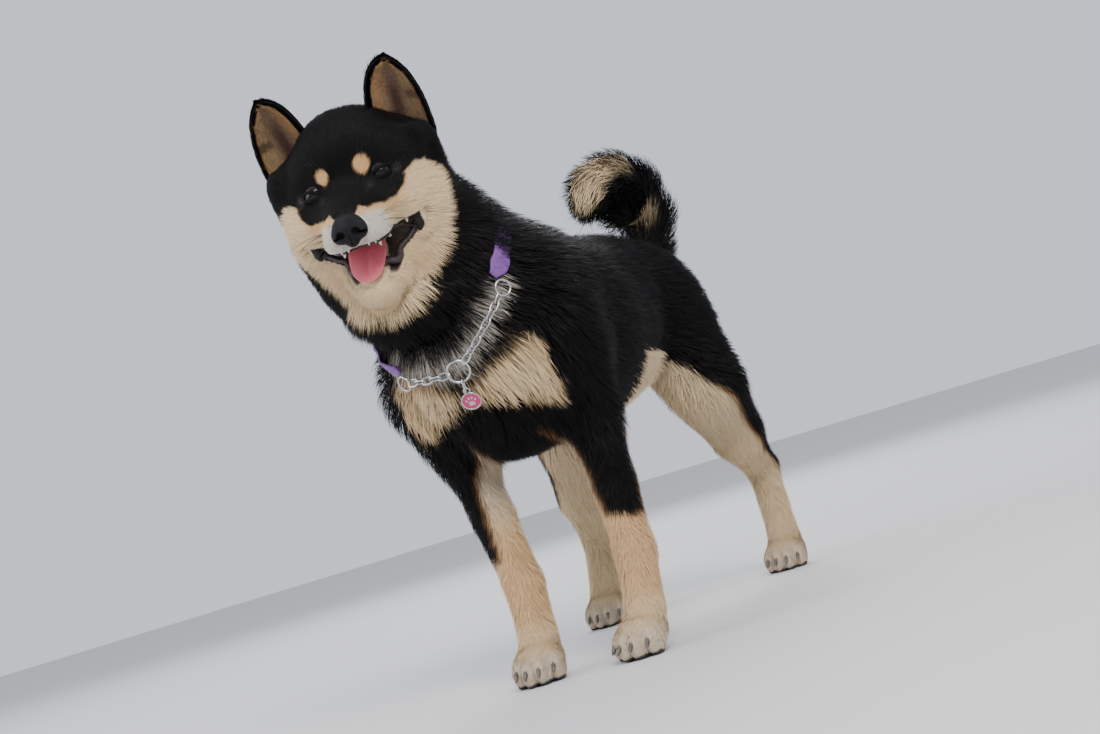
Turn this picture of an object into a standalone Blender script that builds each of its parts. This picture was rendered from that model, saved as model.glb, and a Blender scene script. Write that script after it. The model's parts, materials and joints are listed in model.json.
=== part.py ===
"""A black-and-tan shiba inu, life size, standing with its head turned, in separate solids.

Metres, +Z up, the dog faces -Y and its left side is +X. The coat's outline is blended
from named masses, remeshed, and parted at the joints with thin cuts.
"""
import bpy
import bmesh
import numpy as np
from mathutils import Matrix, Vector

GAP = 0.0003            # clearance between neighbouring solids
VOXEL = 0.0046          # cell of the remesh that joins the masses
BODY_FACES = 2100       # triangles kept on the body
TAIL_FACES = 340
EYE_R = 0.0092
EYE_AT = (0.0285, -0.0075, 0.0020)
NOSE_AT, NOSE_SIZE = (0.0, -0.0640, -0.0335), (0.0148, 0.0105, 0.0125)
WEB_WIDTH, WEB_THICK, WEB_SINK = 0.018, 0.0026, 0.0026
NECK_DIR = (-0.27, -0.60, 0.75)       # the neck's line, and the normal of the collar's plane
COLLAR_AT = (-0.030, -0.158, 0.350)   # the middle of the collar's loop
WIRE = 0.0010           # radius of the chain's wire
LINK = (0.0044, 0.0030)  # half length and half width of a link, to the wire's middle
RING_R, RING_WIRE = 0.0094, 0.0011
TAG_R, TAG_THICK = 0.0086, 0.0016
SHIFT = (0.0168, 0.0158)      # puts the middle of the whole model's box on the origin

for ob in list(bpy.data.objects):
    bpy.data.objects.remove(ob, do_unlink=True)
parts = bpy.data.collections.new("shiba_inu")
cutters = bpy.data.collections.new("cutters")
bpy.context.scene.collection.children.link(parts)
bpy.context.scene.collection.children.link(cutters)


# ---------------------------------------------------------------- the outline as blended masses
def V(*a):
    return np.array(a, np.float64)


def euler(yaw=0, pitch=0, roll=0):
    a, b, c = np.radians([yaw, pitch, roll])
    rz = np.array([[np.cos(a), -np.sin(a), 0], [np.sin(a), np.cos(a), 0], [0, 0, 1]])
    rx = np.array([[1, 0, 0], [0, np.cos(b), -np.sin(b)], [0, np.sin(b), np.cos(b)]])
    ry = np.array([[np.cos(c), 0, np.sin(c)], [0, 1, 0], [-np.sin(c), 0, np.cos(c)]])
    return rz @ rx @ ry


def f_ellipsoid(p, c, r, rot=None):
    q = p - c
    if rot is not None:
        q = q @ rot
    a = q / r
    k0 = np.sqrt((a * a).sum(-1))
    b = a / r
    k1 = np.sqrt((b * b).sum(-1)) + 1e-9
    return k0 * (k0 - 1) / k1


def f_cone(p, a, b, ra, rb):
    ba = b - a
    l2 = ba @ ba
    rr = ra - rb
    a2 = l2 - rr * rr
    il2 = 1 / l2
    pa = p - a
    y = pa @ ba
    z = y - l2
    w = pa * l2 - ba * y[..., None]
    x2 = (w * w).sum(-1)
    y2 = y * y * l2
    z2 = z * z * l2
    k = np.sign(rr) * rr * rr * x2
    d = (np.sqrt(x2 * a2 * il2) + y * rr) * il2 - ra
    d = np.where(np.sign(z) * a2 * z2 > k, np.sqrt(x2 + z2) * il2 - rb, d)
    d = np.where(np.sign(y) * a2 * y2 < k, np.sqrt(x2 + y2) * il2 - ra, d)
    return d


def blend(a, b, k):
    h = np.clip(0.5 + 0.5 * (b - a) / k, 0, 1)
    return b + (a - b) * h - k * h * (1 - h)


def carve(a, b, k):
    h = np.clip(0.5 - 0.5 * (a + b) / k, 0, 1)
    return a + (-b - a) * h + k * h * (1 - h)


# the head's place: the point midway between the eyes, turned to the dog's left and dipped
HEAD_POS = V(-0.0430, -0.2625, 0.4334)
HEAD_R = euler(16.5, 10.7, -1.6)


def to_head(p):
    return (p - HEAD_POS) @ HEAD_R


def from_head(q):
    return q @ HEAD_R.T + HEAD_POS


# joints of the four legs
LEGS = {
    "front_left": dict(sh=V(0.047, -0.150, 0.285), el=V(0.043, -0.118, 0.200), ca=V(0.056, -0.146, 0.084), fe=V(0.055, -0.160, 0.036), to=V(0.050, -0.186, 0.0150)),
    "front_right": dict(sh=V(-0.096, -0.148, 0.272), el=V(-0.085, -0.120, 0.203), ca=V(-0.049, -0.153, 0.082), fe=V(-0.041, -0.172, 0.036), to=V(-0.037, -0.198, 0.0150)),
    "hind_left": dict(hi=V(0.024, 0.168, 0.300), st=V(0.056, 0.170, 0.208), ho=V(0.056, 0.276, 0.110), fe=V(0.061, 0.260, 0.034), to=V(0.062, 0.236, 0.0145)),
    "hind_right": dict(hi=V(-0.058, 0.155, 0.300), st=V(-0.078, 0.110, 0.205), ho=V(-0.114, 0.184, 0.088), fe=V(-0.112, 0.158, 0.034), to=V(-0.108, 0.132, 0.0145)),
}

# the masses that the coat's outline is blended from:
# (shape, frame, mirrored, blend radius, numbers)
BODY = []


def E(c, r, k, rot=None, frame="world", mirror=False):
    BODY.append(("E", frame, mirror, k, (V(*c), V(*r), rot, 1.0)))


def C(a, b, ra, rb, k, frame="world", mirror=False, xs=1.0):
    BODY.append(("C", frame, mirror, k, (V(*a), V(*b), ra, rb, xs)))


# trunk
E((-0.004, -0.040, 0.290), (0.082, 0.150, 0.092), 0.03)
E((-0.026, -0.122, 0.262), (0.086, 0.080, 0.080), 0.03)
E((0.000, -0.080, 0.335), (0.048, 0.080, 0.046), 0.03)
E((-0.002, 0.090, 0.316), (0.066, 0.115, 0.072), 0.03)
E((-0.006, 0.055, 0.272), (0.058, 0.115, 0.062), 0.03)
E((-0.006, 0.165, 0.314), (0.070, 0.082, 0.070), 0.03)
# neck
C((-0.052, -0.208, 0.412), (-0.014, -0.122, 0.305), 0.062, 0.080, 0.03)
E((-0.034, -0.170, 0.312), (0.070, 0.068, 0.085), 0.03)
C((-0.050, -0.188, 0.440), (-0.006, -0.090, 0.332), 0.049, 0.045, 0.02)


def paw_masses(fe, to):
    fw = (to - fe) * V(1, 1, 0)
    fw /= np.linalg.norm(fw)
    side = V(-fw[1], fw[0], 0)
    frame = np.stack([side, fw, V(0, 0, 1)], 1)
    E(to - fw * 0.012 + V(0, 0, 0.003), (0.0225, 0.024, 0.0175), 0.010, frame)
    for o, f in ((-0.0160, -0.003), (-0.0056, 0.006), (0.0056, 0.006), (0.0160, -0.003)):
        E(to + side * o + fw * f + V(0, 0, -0.003), (0.0078, 0.014, 0.0130), 0.004, frame)


for name, L in LEGS.items():
    fe, to = L["fe"], L["to"]
    if name.startswith("front"):
        sh, el, ca = L["sh"], L["el"], L["ca"]
        E(sh + V(0, 0.020, 0.004), (0.028, 0.056, 0.070), 0.022, euler(0, -18, 0))
        C(sh, el, 0.034, 0.025, 0.03)
        mid = el * 0.5 + ca * 0.5
        C(el, mid, 0.0245, 0.0208, 0.02)
        C(mid, ca, 0.0208, 0.0185, 0.006)
        C(ca, fe, 0.0190, 0.0185, 0.008)
    else:
        hi, st, ho = L["hi"], L["st"], L["ho"]
        C(hi, st, 0.058, 0.042, 0.026)
        C(hi + V(0, 0.034, -0.015), st * 0.4 + ho * 0.6 + V(0, 0, 0.010), 0.044, 0.026, 0.03)
        mid = st * 0.45 + ho * 0.55 + V(0, -0.006, -0.004)
        C(st, mid, 0.038, 0.029, 0.02)
        C(mid, ho, 0.029, 0.0180, 0.006)
        C(ho, fe, 0.0180, 0.0180, 0.010)
    paw_masses(fe, to)

# head: skull, ear roots, brow, cheeks, ruff, throat, muzzle, whisker pads, lower jaw
E((0, 0.050, 0.008), (0.058, 0.062, 0.061), 0.022, None, "head")
E((0.048, 0.054, 0.006), (0.025, 0.032, 0.032), 0.02, None, "head", True)
E((0, 0.020, 0.008), (0.044, 0.030, 0.030), 0.02, None, "head")
E((0.0590, 0.036, 0.0170), (0.0165, 0.0190, 0.0195), 0.012, None, "head", True)
E((0.040, 0.034, -0.026), (0.032, 0.044, 0.040), 0.02, None, "head", True)
E((0.026, 0.004, -0.026), (0.024, 0.030, 0.020), 0.016, None, "head", True)
E((0.031, 0.046, -0.064), (0.036, 0.042, 0.046), 0.02, None, "head", True)
E((0, 0.030, -0.088), (0.046, 0.044, 0.040), 0.02, None, "head")
E((0, 0.008, -0.104), (0.044, 0.036, 0.030), 0.02, None, "head")
C((0, 0.006, -0.020), (0, -0.050, -0.031), 0.031, 0.0180, 0.014, "head", False, 0.86)
E((0.0125, -0.038, -0.040), (0.0155, 0.026, 0.0155), 0.008, None, "head", True)
C((0, 0.014, -0.066), (0, -0.026, -0.086), 0.030, 0.0160, 0.010, "head", False, 0.80)

# tail: curled over the loin
TAIL_PATH = ((0.012, 0.206, 0.338), (0.020, 0.238, 0.370), (0.027, 0.246, 0.406), (0.025, 0.228, 0.436), (0.014, 0.200, 0.448), (0.002, 0.176, 0.443), (-0.004, 0.160, 0.428))
TAIL_R = (0.027, 0.029, 0.031, 0.032, 0.032, 0.030, 0.024)
TAIL = [("C", "world", False, 0.014, (V(*TAIL_PATH[i]), V(*TAIL_PATH[i + 1]), TAIL_R[i], TAIL_R[i + 1], 1.0)) for i in range(len(TAIL_PATH) - 1)]
TAIL.append(("E", "world", False, 0.014, (V(0.012, 0.206, 0.410), V(0.026, 0.030, 0.030), None, 1.0)))


def masses_field(p, q, table):
    d = None
    for shape, frame, mirror, k, g in table:
        w = q if frame == "head" else p
        if mirror:
            w = np.stack([np.abs(w[..., 0]), w[..., 1], w[..., 2]], -1)
        if shape == "E":
            e = f_ellipsoid(w, g[0], g[1], g[2])
        else:
            e = f_cone(w * V(g[4], 1, 1) if g[4] != 1.0 else w, g[0], g[1], g[2], g[3])
        d = e if d is None else blend(d, e, k)
    return d


# the open mouth: a wedge whose edge joins its corners, and the hollow of the palate
MOUTH_APEX = V(0, 0.003, -0.0365)
MOUTH_UP, MOUTH_DOWN, MOUTH_HALF = 0.21, 1.00, 0.041


def f_mouth(q):
    x, y, z = np.abs(q[..., 0]), q[..., 1], q[..., 2]
    f = MOUTH_APEX[1] - y
    up = (z - MOUTH_APEX[2] + MOUTH_UP * f) / np.hypot(1, MOUTH_UP)
    lo = -(z - MOUTH_APEX[2] + MOUTH_DOWN * f) / np.hypot(1, MOUTH_DOWN)
    d = np.maximum(np.maximum(up, lo), x - MOUTH_HALF)
    pal = f_ellipsoid(q, V(0, -0.022, -0.052), V(0.021, 0.030, 0.014), euler(0, 12, 0))
    return blend(d, pal, 0.006)


# ears: cupped triangles between an inner and an outer edge curve
EAR_IN = (V(0.0285, 0.036, 0.058), V(0.037, 0.028, 0.092), V(0.0570, 0.032, 0.0915))
EAR_OUT = (V(0.0745, 0.050, 0.024), V(0.0790, 0.038, 0.076), V(0.0570, 0.032, 0.0915))
EAR_BACK = V(-0.10, 0.93, 0.30) / np.linalg.norm(V(-0.10, 0.93, 0.30))
EAR_BOWL = (V(0.0545, 0.032, 0.058), V(0.017, 0.015, 0.025), euler(0, 0, -25))


def bezier(c, t):
    t = t[..., None]
    return (1 - t) ** 2 * c[0] + 2 * t * (1 - t) * c[1] + t * t * c[2]


def ear_sheet(u, v):
    """u from 0 at the inner edge to 1 at the outer, v from 0 at the skull to 1 at the tip"""
    v = np.where(v > 0, v * (0.965 - 0.10 * np.abs(2 * u - 1) ** 2.5 * v * v), v)
    up, dn = np.maximum(v, 0), np.minimum(v, 0)[..., None]
    a = bezier(EAR_IN, up) + dn * (2 * (EAR_IN[1] - EAR_IN[0])) * 0.6
    b = bezier(EAR_OUT, up) + dn * (2 * (EAR_OUT[1] - EAR_OUT[0])) * 0.4
    w = np.linalg.norm(b - a, axis=-1)
    bow = 0.34 * w * (4 * u * (1 - u)) ** 0.75
    return a + (b - a) * u[..., None] + bow[..., None] * EAR_BACK


def ear_sides(nu, nv, side, thick, v0, vtop=0.992):
    """front and back points of the ear's shell"""
    u = (1 - np.cos(np.linspace(0, np.pi, nu))) / 2
    v = np.minimum(v0 + (1 - v0) * (1 - (1 - np.linspace(0, 1, nv)) ** 1.4), vtop)
    uu, vv = np.meshgrid(u, v, indexing="ij")
    e = 1e-3
    p = ear_sheet(uu, vv)
    du = ear_sheet(np.clip(uu + e, 0, 1), vv) - ear_sheet(np.clip(uu - e, 0, 1), vv)
    dv = ear_sheet(uu, np.minimum(vv + e, 1)) - ear_sheet(uu, vv - e)
    n = np.cross(du, dv)
    n /= np.linalg.norm(n, axis=-1)[..., None] + 1e-12
    if n[nu // 2, nv // 2, 1] < 0:
        n = -n
    n[0], n[-1] = n[1], n[-2]
    t = thick * (0.35 + 0.65 * np.sqrt(np.clip(4 * uu * (1 - uu), 0, 1))) * (1 - 0.45 * np.clip(vv, 0, 1) ** 3)
    flip = V(side, 1, 1)
    return (p - n * t[..., None] / 2) * flip, (p + n * t[..., None] / 2) * flip


def f_trunk_head(p):
    """the coat's outline without tail and ears"""
    q = to_head(p)
    d = masses_field(p, q, BODY)
    return d


def f_body(p):
    q = to_head(p)
    d = masses_field(p, q, BODY)
    d = carve(d, f_mouth(q), 0.004)
    m = np.stack([np.abs(q[..., 0]), q[..., 1], q[..., 2]], -1)
    return carve(d, f_ellipsoid(m, *EAR_BOWL), 0.005)


def f_tail(p):
    return masses_field(p, p, TAIL)


# ---------------------------------------------------------------- mesh helpers
def add_object(name, bm, where=None):
    me = bpy.data.meshes.new(name)
    bm.to_mesh(me)
    bm.free()
    ob = bpy.data.objects.new(name, me)
    (where or parts).objects.link(ob)
    if where is cutters:
        ob.hide_render = True
        ob.display_type = "WIRE"
    return ob


def bake(ob):
    """the object's modifiers applied to its mesh"""
    bpy.context.view_layer.update()
    dg = bpy.context.evaluated_depsgraph_get()
    me = bpy.data.meshes.new_from_object(ob.evaluated_get(dg))
    ob.modifiers.clear()
    old = ob.data
    ob.data = me
    bpy.data.meshes.remove(old)
    return ob


def drop(ob):
    bpy.data.objects.remove(ob, do_unlink=True)


def combine(ob, cutter, how, keep=False):
    mod = ob.modifiers.new("cut", "BOOLEAN")
    mod.operation = how
    mod.solver = "EXACT"
    mod.object = cutter
    bake(ob)
    if not keep:
        drop(cutter)
    return ob


def copy_of(ob, name, where=None, grow=0.0):
    me = ob.data.copy()
    other = bpy.data.objects.new(name, me)
    (where or cutters).objects.link(other)
    if where is None:
        other.hide_render = True
        other.display_type = "WIRE"
    if grow:
        n = len(me.vertices)
        co = np.empty(n * 3)
        no = np.empty(n * 3)
        me.vertices.foreach_get("co", co)
        me.vertices.foreach_get("normal", no)
        me.vertices.foreach_set("co", co + no * grow)
        me.update()
    return other


def pose(loc, rot=None, size=(1, 1, 1)):
    m = Matrix.Identity(4)
    if rot is not None:
        for i in range(3):
            for j in range(3):
                m[i][j] = float(rot[i, j])
    return Matrix.Translation([float(c) for c in loc]) @ m @ Matrix.Diagonal([float(s) for s in size] + [1.0])


HEAD_M = pose(HEAD_POS, HEAD_R)


def frame_along(direction, up=(0, 0, 1)):
    z = np.array(direction, float)
    z /= np.linalg.norm(z)
    x = np.cross(up, z)
    x /= np.linalg.norm(x)
    return np.stack([x, np.cross(z, x), z], 1)


def add_sphere(bm, m, u=20, v=12):
    bmesh.ops.create_uvsphere(bm, u_segments=u, v_segments=v, radius=1.0, matrix=m)


def add_mass(bm, mass):
    """the plain primitive that stands for one mass before the remesh"""
    shape, frame, mirror, k, g = mass
    base = HEAD_M if frame == "head" else Matrix.Identity(4)
    for side in ((1, -1) if mirror else (1,)):
        m = base @ Matrix.Diagonal((side, 1, 1, 1))
        if shape == "E":
            add_sphere(bm, m @ pose(g[0], g[2], g[1]))
            continue
        a, b, ra, rb, xs = g
        m = m @ Matrix.Diagonal((1 / xs, 1, 1, 1))
        add_sphere(bm, m @ pose(a, None, (ra, ra, ra)))
        add_sphere(bm, m @ pose(b, None, (rb, rb, rb)))
        up = (1, 0, 0) if abs((b - a)[0]) < 0.5 * np.linalg.norm(b - a) else (0, 1, 0)
        bmesh.ops.create_cone(bm, cap_ends=True, segments=20, radius1=ra, radius2=rb, depth=float(np.linalg.norm(b - a)),
                              matrix=m @ pose((a + b) / 2, frame_along(b - a, up)))


def settle(ob, field, rounds=5, step=0.004, eps=4e-4):
    """moves every vertex on to the field's surface"""
    me = ob.data
    n = len(me.vertices)
    co = np.empty(n * 3)
    me.vertices.foreach_get("co", co)
    v = co.reshape(-1, 3)
    for _ in range(rounds):
        d = field(v)
        g = np.stack([field(v + np.eye(3)[i] * eps) - field(v - np.eye(3)[i] * eps) for i in range(3)], -1) / (2 * eps)
        v = v - np.clip(d / np.maximum((g * g).sum(-1), 0.3), -step, step)[:, None] * g
    me.vertices.foreach_set("co", v.ravel())
    me.update()


def remeshed(name, table, field, faces, voxel):
    bm = bmesh.new()
    for mass in table:
        add_mass(bm, mass)
    bmesh.ops.recalc_face_normals(bm, faces=bm.faces)
    ob = add_object(name, bm)
    mod = ob.modifiers.new("join", "REMESH")
    mod.mode = "VOXEL"
    mod.voxel_size = voxel
    bake(ob)
    settle(ob, field)
    mod = ob.modifiers.new("even", "SMOOTH")
    mod.factor = 0.4
    mod.iterations = 2
    bake(ob)
    settle(ob, field, rounds=2)
    tri = ob.modifiers.new("tri", "TRIANGULATE")
    tri.quad_method = "SHORTEST_DIAGONAL"
    bake(ob)
    mod = ob.modifiers.new("thin", "DECIMATE")
    mod.ratio = faces / len(ob.data.polygons)
    return bake(ob)


def box(name, m, size, where=None):
    bm = bmesh.new()
    bmesh.ops.create_cube(bm, size=1.0, matrix=m @ Matrix.Diagonal((size[0], size[1], size[2], 1)))
    return add_object(name, bm, where or cutters)


def slab(ob, at, normal, half, up=(1, 0, 0)):
    """a thin planar cut through a limb"""
    return combine(ob, box("cut", pose(at, frame_along(normal, up)), (2 * half, 2 * half, GAP)), "DIFFERENCE")


def region(ob, name, m, build):
    """takes the piece inside a shape out of ob, with a thin gap left round it"""
    inner = build(m, 0.0)
    outer = build(m, GAP)
    piece = copy_of(ob, name, parts)
    combine(piece, inner, "INTERSECT")
    combine(ob, outer, "DIFFERENCE")
    return piece


def ball(size, u=10, v=7):
    def build(m, grow):
        bm = bmesh.new()
        add_sphere(bm, m @ Matrix.Diagonal([s + grow for s in size] + [1.0]), u, v)
        return add_object("cut", bm, cutters)
    return build


def loose_parts(ob):
    """splits an object into its separate shells, with the volume and middle of each"""
    bm = bmesh.new()
    bm.from_mesh(ob.data)
    bm.verts.ensure_lookup_table()
    seen, groups = set(), []
    for v in bm.verts:
        if v.index in seen:
            continue
        stack, group = [v], set()
        while stack:
            w = stack.pop()
            if w.index in group:
                continue
            group.add(w.index)
            stack.extend(e.other_vert(w) for e in w.link_edges)
        seen |= group
        groups.append(group)
    out = []
    for group in groups:
        b = bm.copy()
        b.verts.ensure_lookup_table()
        bmesh.ops.delete(b, geom=[w for w in b.verts if w.index not in group], context="VERTS")
        vol = b.calc_volume(signed=True)
        if abs(vol) < 2e-7:
            b.free()
            continue
        mid = np.mean([tuple(w.co) for w in b.verts], axis=0)
        out.append((vol, mid, b))
    bm.free()
    return sorted(out, key=lambda t: -t[0])


def clean(ob, dist=2e-5):
    bm = bmesh.new()
    bm.from_mesh(ob.data)
    bmesh.ops.remove_doubles(bm, verts=bm.verts, dist=dist)
    bmesh.ops.dissolve_degenerate(bm, edges=bm.edges, dist=dist)
    bmesh.ops.triangulate(bm, faces=bm.faces)
    bm.to_mesh(ob.data)
    bm.free()


def part_out(ob, seeds):
    """names each shell of ob by the nearest of the named points, largest first"""
    left = dict(seeds)
    for vol, mid, b in loose_parts(ob):
        if not left:
            b.free()
            continue
        name = min(left, key=lambda s: np.linalg.norm(mid - left[s]))
        del left[name]
        add_object(name, b)
    drop(ob)


# ---------------------------------------------------------------- body
body = remeshed("body", BODY, f_trunk_head, BODY_FACES, VOXEL)
tail = remeshed("tail", TAIL, f_tail, TAIL_FACES, VOXEL)

# flats under the paws, all at the floor's level
combine(body, box("floor_cut", pose((0, 0, -0.05)), (1.0, 1.0, 0.1)), "DIFFERENCE")


def wedge(grow=0.0):
    """the open mouth between its two lips"""
    bm = bmesh.new()
    bmesh.ops.create_cube(bm, size=1.0)
    reach = 0.075
    for v in bm.verts:
        x = np.sign(v.co.x) * MOUTH_HALF
        if v.co.y > 0:
            y, z = MOUTH_APEX[1], MOUTH_APEX[2] + (0.0002 if v.co.z > 0 else -0.0002)
        else:
            y = MOUTH_APEX[1] - reach
            z = MOUTH_APEX[2] - reach * (MOUTH_UP if v.co.z > 0 else MOUTH_DOWN)
        v.co = HEAD_M @ Vector((x, y, z))
    bmesh.ops.recalc_face_normals(bm, faces=bm.faces)
    return add_object("mouth_cut", bm, cutters)


combine(body, wedge(), "DIFFERENCE")
bm = bmesh.new()
add_sphere(bm, HEAD_M @ pose((0, -0.020, -0.050), euler(0, 12, 0), (0.020, 0.028, 0.012)), 16, 10)
combine(body, add_object("palate_cut", bm, cutters), "DIFFERENCE")

# ---------------------------------------------------------------- ears
ears = {}
for side, name in ((1, "ear_left"), (-1, "ear_right")):
    bm = bmesh.new()
    nu, nv = 7, 7
    bmesh.ops.create_grid(bm, x_segments=nu, y_segments=nv, size=1.0)
    for v in bm.verts:
        u = np.array((v.co.x + 1) / 2)
        w = np.array((v.co.y + 1) / 2)
        u = (1 - np.cos(np.pi * u)) / 2
        t = min(-0.26 + 1.26 * (1 - (1 - w) ** 1.35), 0.975)
        p = ear_sheet(u, np.array(t)) * V(side, 1, 1)
        v.co = Vector(from_head(p))
    bmesh.ops.recalc_face_normals(bm, faces=bm.faces)
    ob = add_object(name, bm)
    mod = ob.modifiers.new("shell", "SOLIDIFY")
    mod.thickness = 0.0038
    mod.offset = 0.0
    bake(ob)
    clean(ob)
    bm = bmesh.new()
    bm.from_mesh(ob.data)
    bmesh.ops.recalc_face_normals(bm, faces=bm.faces)
    bm.to_mesh(ob.data)
    bm.free()
    ears[name] = ob
    combine(body, copy_of(ob, "socket", grow=GAP * 1.3), "DIFFERENCE")

# the tail's root sits in the rump
combine(body, copy_of(tail, "socket", grow=GAP * 1.2), "DIFFERENCE")


# ---------------------------------------------------------------- eyes, nose, tongue and teeth
def solid(name, build):
    bm = bmesh.new()
    build(bm)
    bmesh.ops.recalc_face_normals(bm, faces=bm.faces)
    return add_object(name, bm)


for side, name in ((1, "eye_left"), (-1, "eye_right")):
    m = HEAD_M @ pose((side * EYE_AT[0], EYE_AT[1], EYE_AT[2]))
    combine(body, ball((EYE_R,) * 3, 10, 8)(m, GAP), "DIFFERENCE")
    eye = solid(name, lambda b: add_sphere(b, m @ Matrix.Diagonal((EYE_R, EYE_R, EYE_R, 1)), 10, 8))

NOSE_M = HEAD_M @ pose(NOSE_AT, euler(0, 14, 0))
combine(body, ball(NOSE_SIZE, 12, 8)(NOSE_M, GAP), "DIFFERENCE")
solid("nose", lambda b: add_sphere(b, NOSE_M @ Matrix.Diagonal(list(NOSE_SIZE) + [1]), 12, 8))


def tongue_map(p):
    """a unit ball laid along the lower jaw, thin, with a groove along its middle"""
    y = -0.0215 - 0.0225 * p.y
    bed = MOUTH_APEX[2] - MOUTH_DOWN * (MOUTH_APEX[1] - y)
    x = p.x * 0.0135
    z = bed + 0.0033 + p.z * 0.0026 * (1 if p.z < 0 else 1 - 0.5 * max(0.0, 1 - abs(p.x) / 0.3))
    return HEAD_M @ Vector((x, y, z))


def tongue_build(b):
    add_sphere(b, Matrix.Identity(4), 12, 8)
    for v in b.verts:
        v.co = tongue_map(v.co)


tongue = solid("tongue", tongue_build)
combine(tongue, copy_of(body, "head_cut", grow=GAP), "DIFFERENCE")
clean(tongue)

TEETH = {
    "canine_upper_left": ((0.0150, -0.0400, -0.0452), (0.05, -0.10, -1), 0.0085),
    "canine_upper_right": ((-0.0150, -0.0400, -0.0452), (-0.05, -0.10, -1), 0.0085),
    "canine_lower_left": ((0.0165, -0.0330, -0.0728), (0.05, -0.25, 1), 0.0065),
    "canine_lower_right": ((-0.0165, -0.0330, -0.0728), (-0.05, -0.25, 1), 0.0065),
}
for name, (at, direction, tall) in TEETH.items():
    m = HEAD_M @ pose(at, frame_along(direction, (1, 0, 0))) @ Matrix.Translation((0, 0, tall / 2))
    tooth = solid(name, lambda b: bmesh.ops.create_cone(b, cap_ends=True, segments=8, radius1=0.0017, radius2=0.0004, depth=tall, matrix=m))
    combine(body, copy_of(tooth, "socket", grow=GAP), "DIFFERENCE")


# ---------------------------------------------------------------- the lower jaw
def jaw_region(m, grow):
    bm = bmesh.new()
    bmesh.ops.create_cube(bm, size=1.0)
    top_back, top_front = (0.0036, -0.0370), (-0.078, -0.0840)
    low_front, low_back = (-0.078, -0.1220), (0.0170, -0.1220)
    for v in bm.verts:
        back, top = v.co.y > 0, v.co.z > 0
        y, z = (top_back if top else low_back) if back else (top_front if top else low_front)
        y += grow if back else -grow
        z += grow if top else -grow
        v.co = m @ Vector((np.sign(v.co.x) * 0.09, y, z))
    bmesh.ops.recalc_face_normals(bm, faces=bm.faces)
    return add_object("cut", bm, cutters)



# ---------------------------------------------------------------- collar: webbing, rings and chain
n_c = np.array(NECK_DIR) / np.linalg.norm(NECK_DIR)
e_1 = V(1, 0, 0) - n_c * n_c[0]
e_1 /= np.linalg.norm(e_1)
e_2 = np.cross(n_c, e_1)
c_0 = V(*COLLAR_AT)


def coat_radius(theta, lift=0.0):
    """distance from the collar's middle to the coat's outline, in the collar's plane"""
    d = np.cos(theta) * e_1 + np.sin(theta) * e_2
    t = np.linspace(0.03, 0.14, 221)
    f = masses_field_at(c_0 + n_c * lift + t[:, None] * d)
    i = int(np.argmax(f > 0))
    return t[i - 1] + (t[i] - t[i - 1]) * (-f[i - 1]) / (f[i] - f[i - 1])


def masses_field_at(p):
    return masses_field(p, to_head(p), BODY)


def angle_of(p):
    q = V(*p) - c_0
    return np.arctan2(q @ e_2, q @ e_1)


WEB_LEFT = (0.0335, -0.2050, 0.3290)     # where the webbing ends on the dog's left, by its ring
WEB_RIGHT = (-0.0700, -0.2220, 0.2780)   # and on its right
a_left, a_right = angle_of(WEB_LEFT), angle_of(WEB_RIGHT)
# the webbing goes from the left end over the nape to the right end
a_back = angle_of(c_0 + V(0, 0.1, 0.08))
if a_left > a_back:
    a_left -= 2 * np.pi
if a_right < a_back:
    a_right += 2 * np.pi


def web_ring(a, inner, outer, half):
    """the four corners of the webbing's section at one angle"""
    d = np.cos(a) * e_1 + np.sin(a) * e_2
    r = coat_radius(a)
    c = c_0 + d * r
    return [c - d * inner - n_c * half, c - d * outer - n_c * half, c - d * outer + n_c * half, c - d * inner + n_c * half]


def web_loft(name, a0, a1, steps, inner, outer, half, where=None):
    """a loft of the webbing's section round the neck"""
    bm = bmesh.new()
    rings = [[bm.verts.new(Vector(p)) for p in web_ring(a, inner, outer, half)] for a in np.linspace(a0, a1, steps)]
    for r, s in zip(rings, rings[1:]):
        for i in range(4):
            j = (i + 1) % 4
            bm.faces.new((r[i], r[j], s[j], s[i]))
    bm.faces.new(rings[0][::-1])
    bm.faces.new(rings[-1])
    bmesh.ops.recalc_face_normals(bm, faces=bm.faces)
    return add_object(name, bm, where)


web_loft("collar_webbing", a_left, a_right, 28, WEB_SINK + WEB_THICK, WEB_SINK, WEB_WIDTH / 2)
combine(body, web_loft("groove", a_left - 0.02, a_right + 0.02, 28, WEB_SINK + WEB_THICK + GAP, -0.02, WEB_WIDTH / 2 + GAP, cutters), "DIFFERENCE")


region(body, "lower_jaw", HEAD_M, jaw_region)


def coat_normal(p, eps=1e-3):
    g = np.array([masses_field_at((p + np.eye(3)[i] * eps)[None])[0] - masses_field_at((p - np.eye(3)[i] * eps)[None])[0] for i in range(3)])
    return g / np.linalg.norm(g)


def on_coat(p, lift):
    """the point moved on to the coat's outline and then out by lift"""
    p = V(*p)
    for _ in range(4):
        p = p - coat_normal(p) * masses_field_at(p[None])[0]
    return p + coat_normal(p) * lift


def link_into(bm, m, half_len, half_wid, wire, nu=12, nv=6):
    """a link: a torus stretched along its length"""
    seg = []
    for i in range(nu):
        a = 2 * np.pi * i / nu
        c = V((half_len - half_wid) * np.sign(np.cos(a)) * min(1, abs(np.cos(a)) * 3) + half_wid * np.cos(a), half_wid * np.sin(a), 0)
        o = V(np.cos(a), np.sin(a), 0)
        seg.append([bm.verts.new(m @ Vector(c + o * wire * np.cos(b) + V(0, 0, wire * np.sin(b)))) for b in 2 * np.pi * np.arange(nv) / nv])
    for i in range(nu):
        r, s = seg[i], seg[(i + 1) % nu]
        for j in range(nv):
            bm.faces.new((r[j], s[j], s[(j + 1) % nv], r[(j + 1) % nv]))


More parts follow.
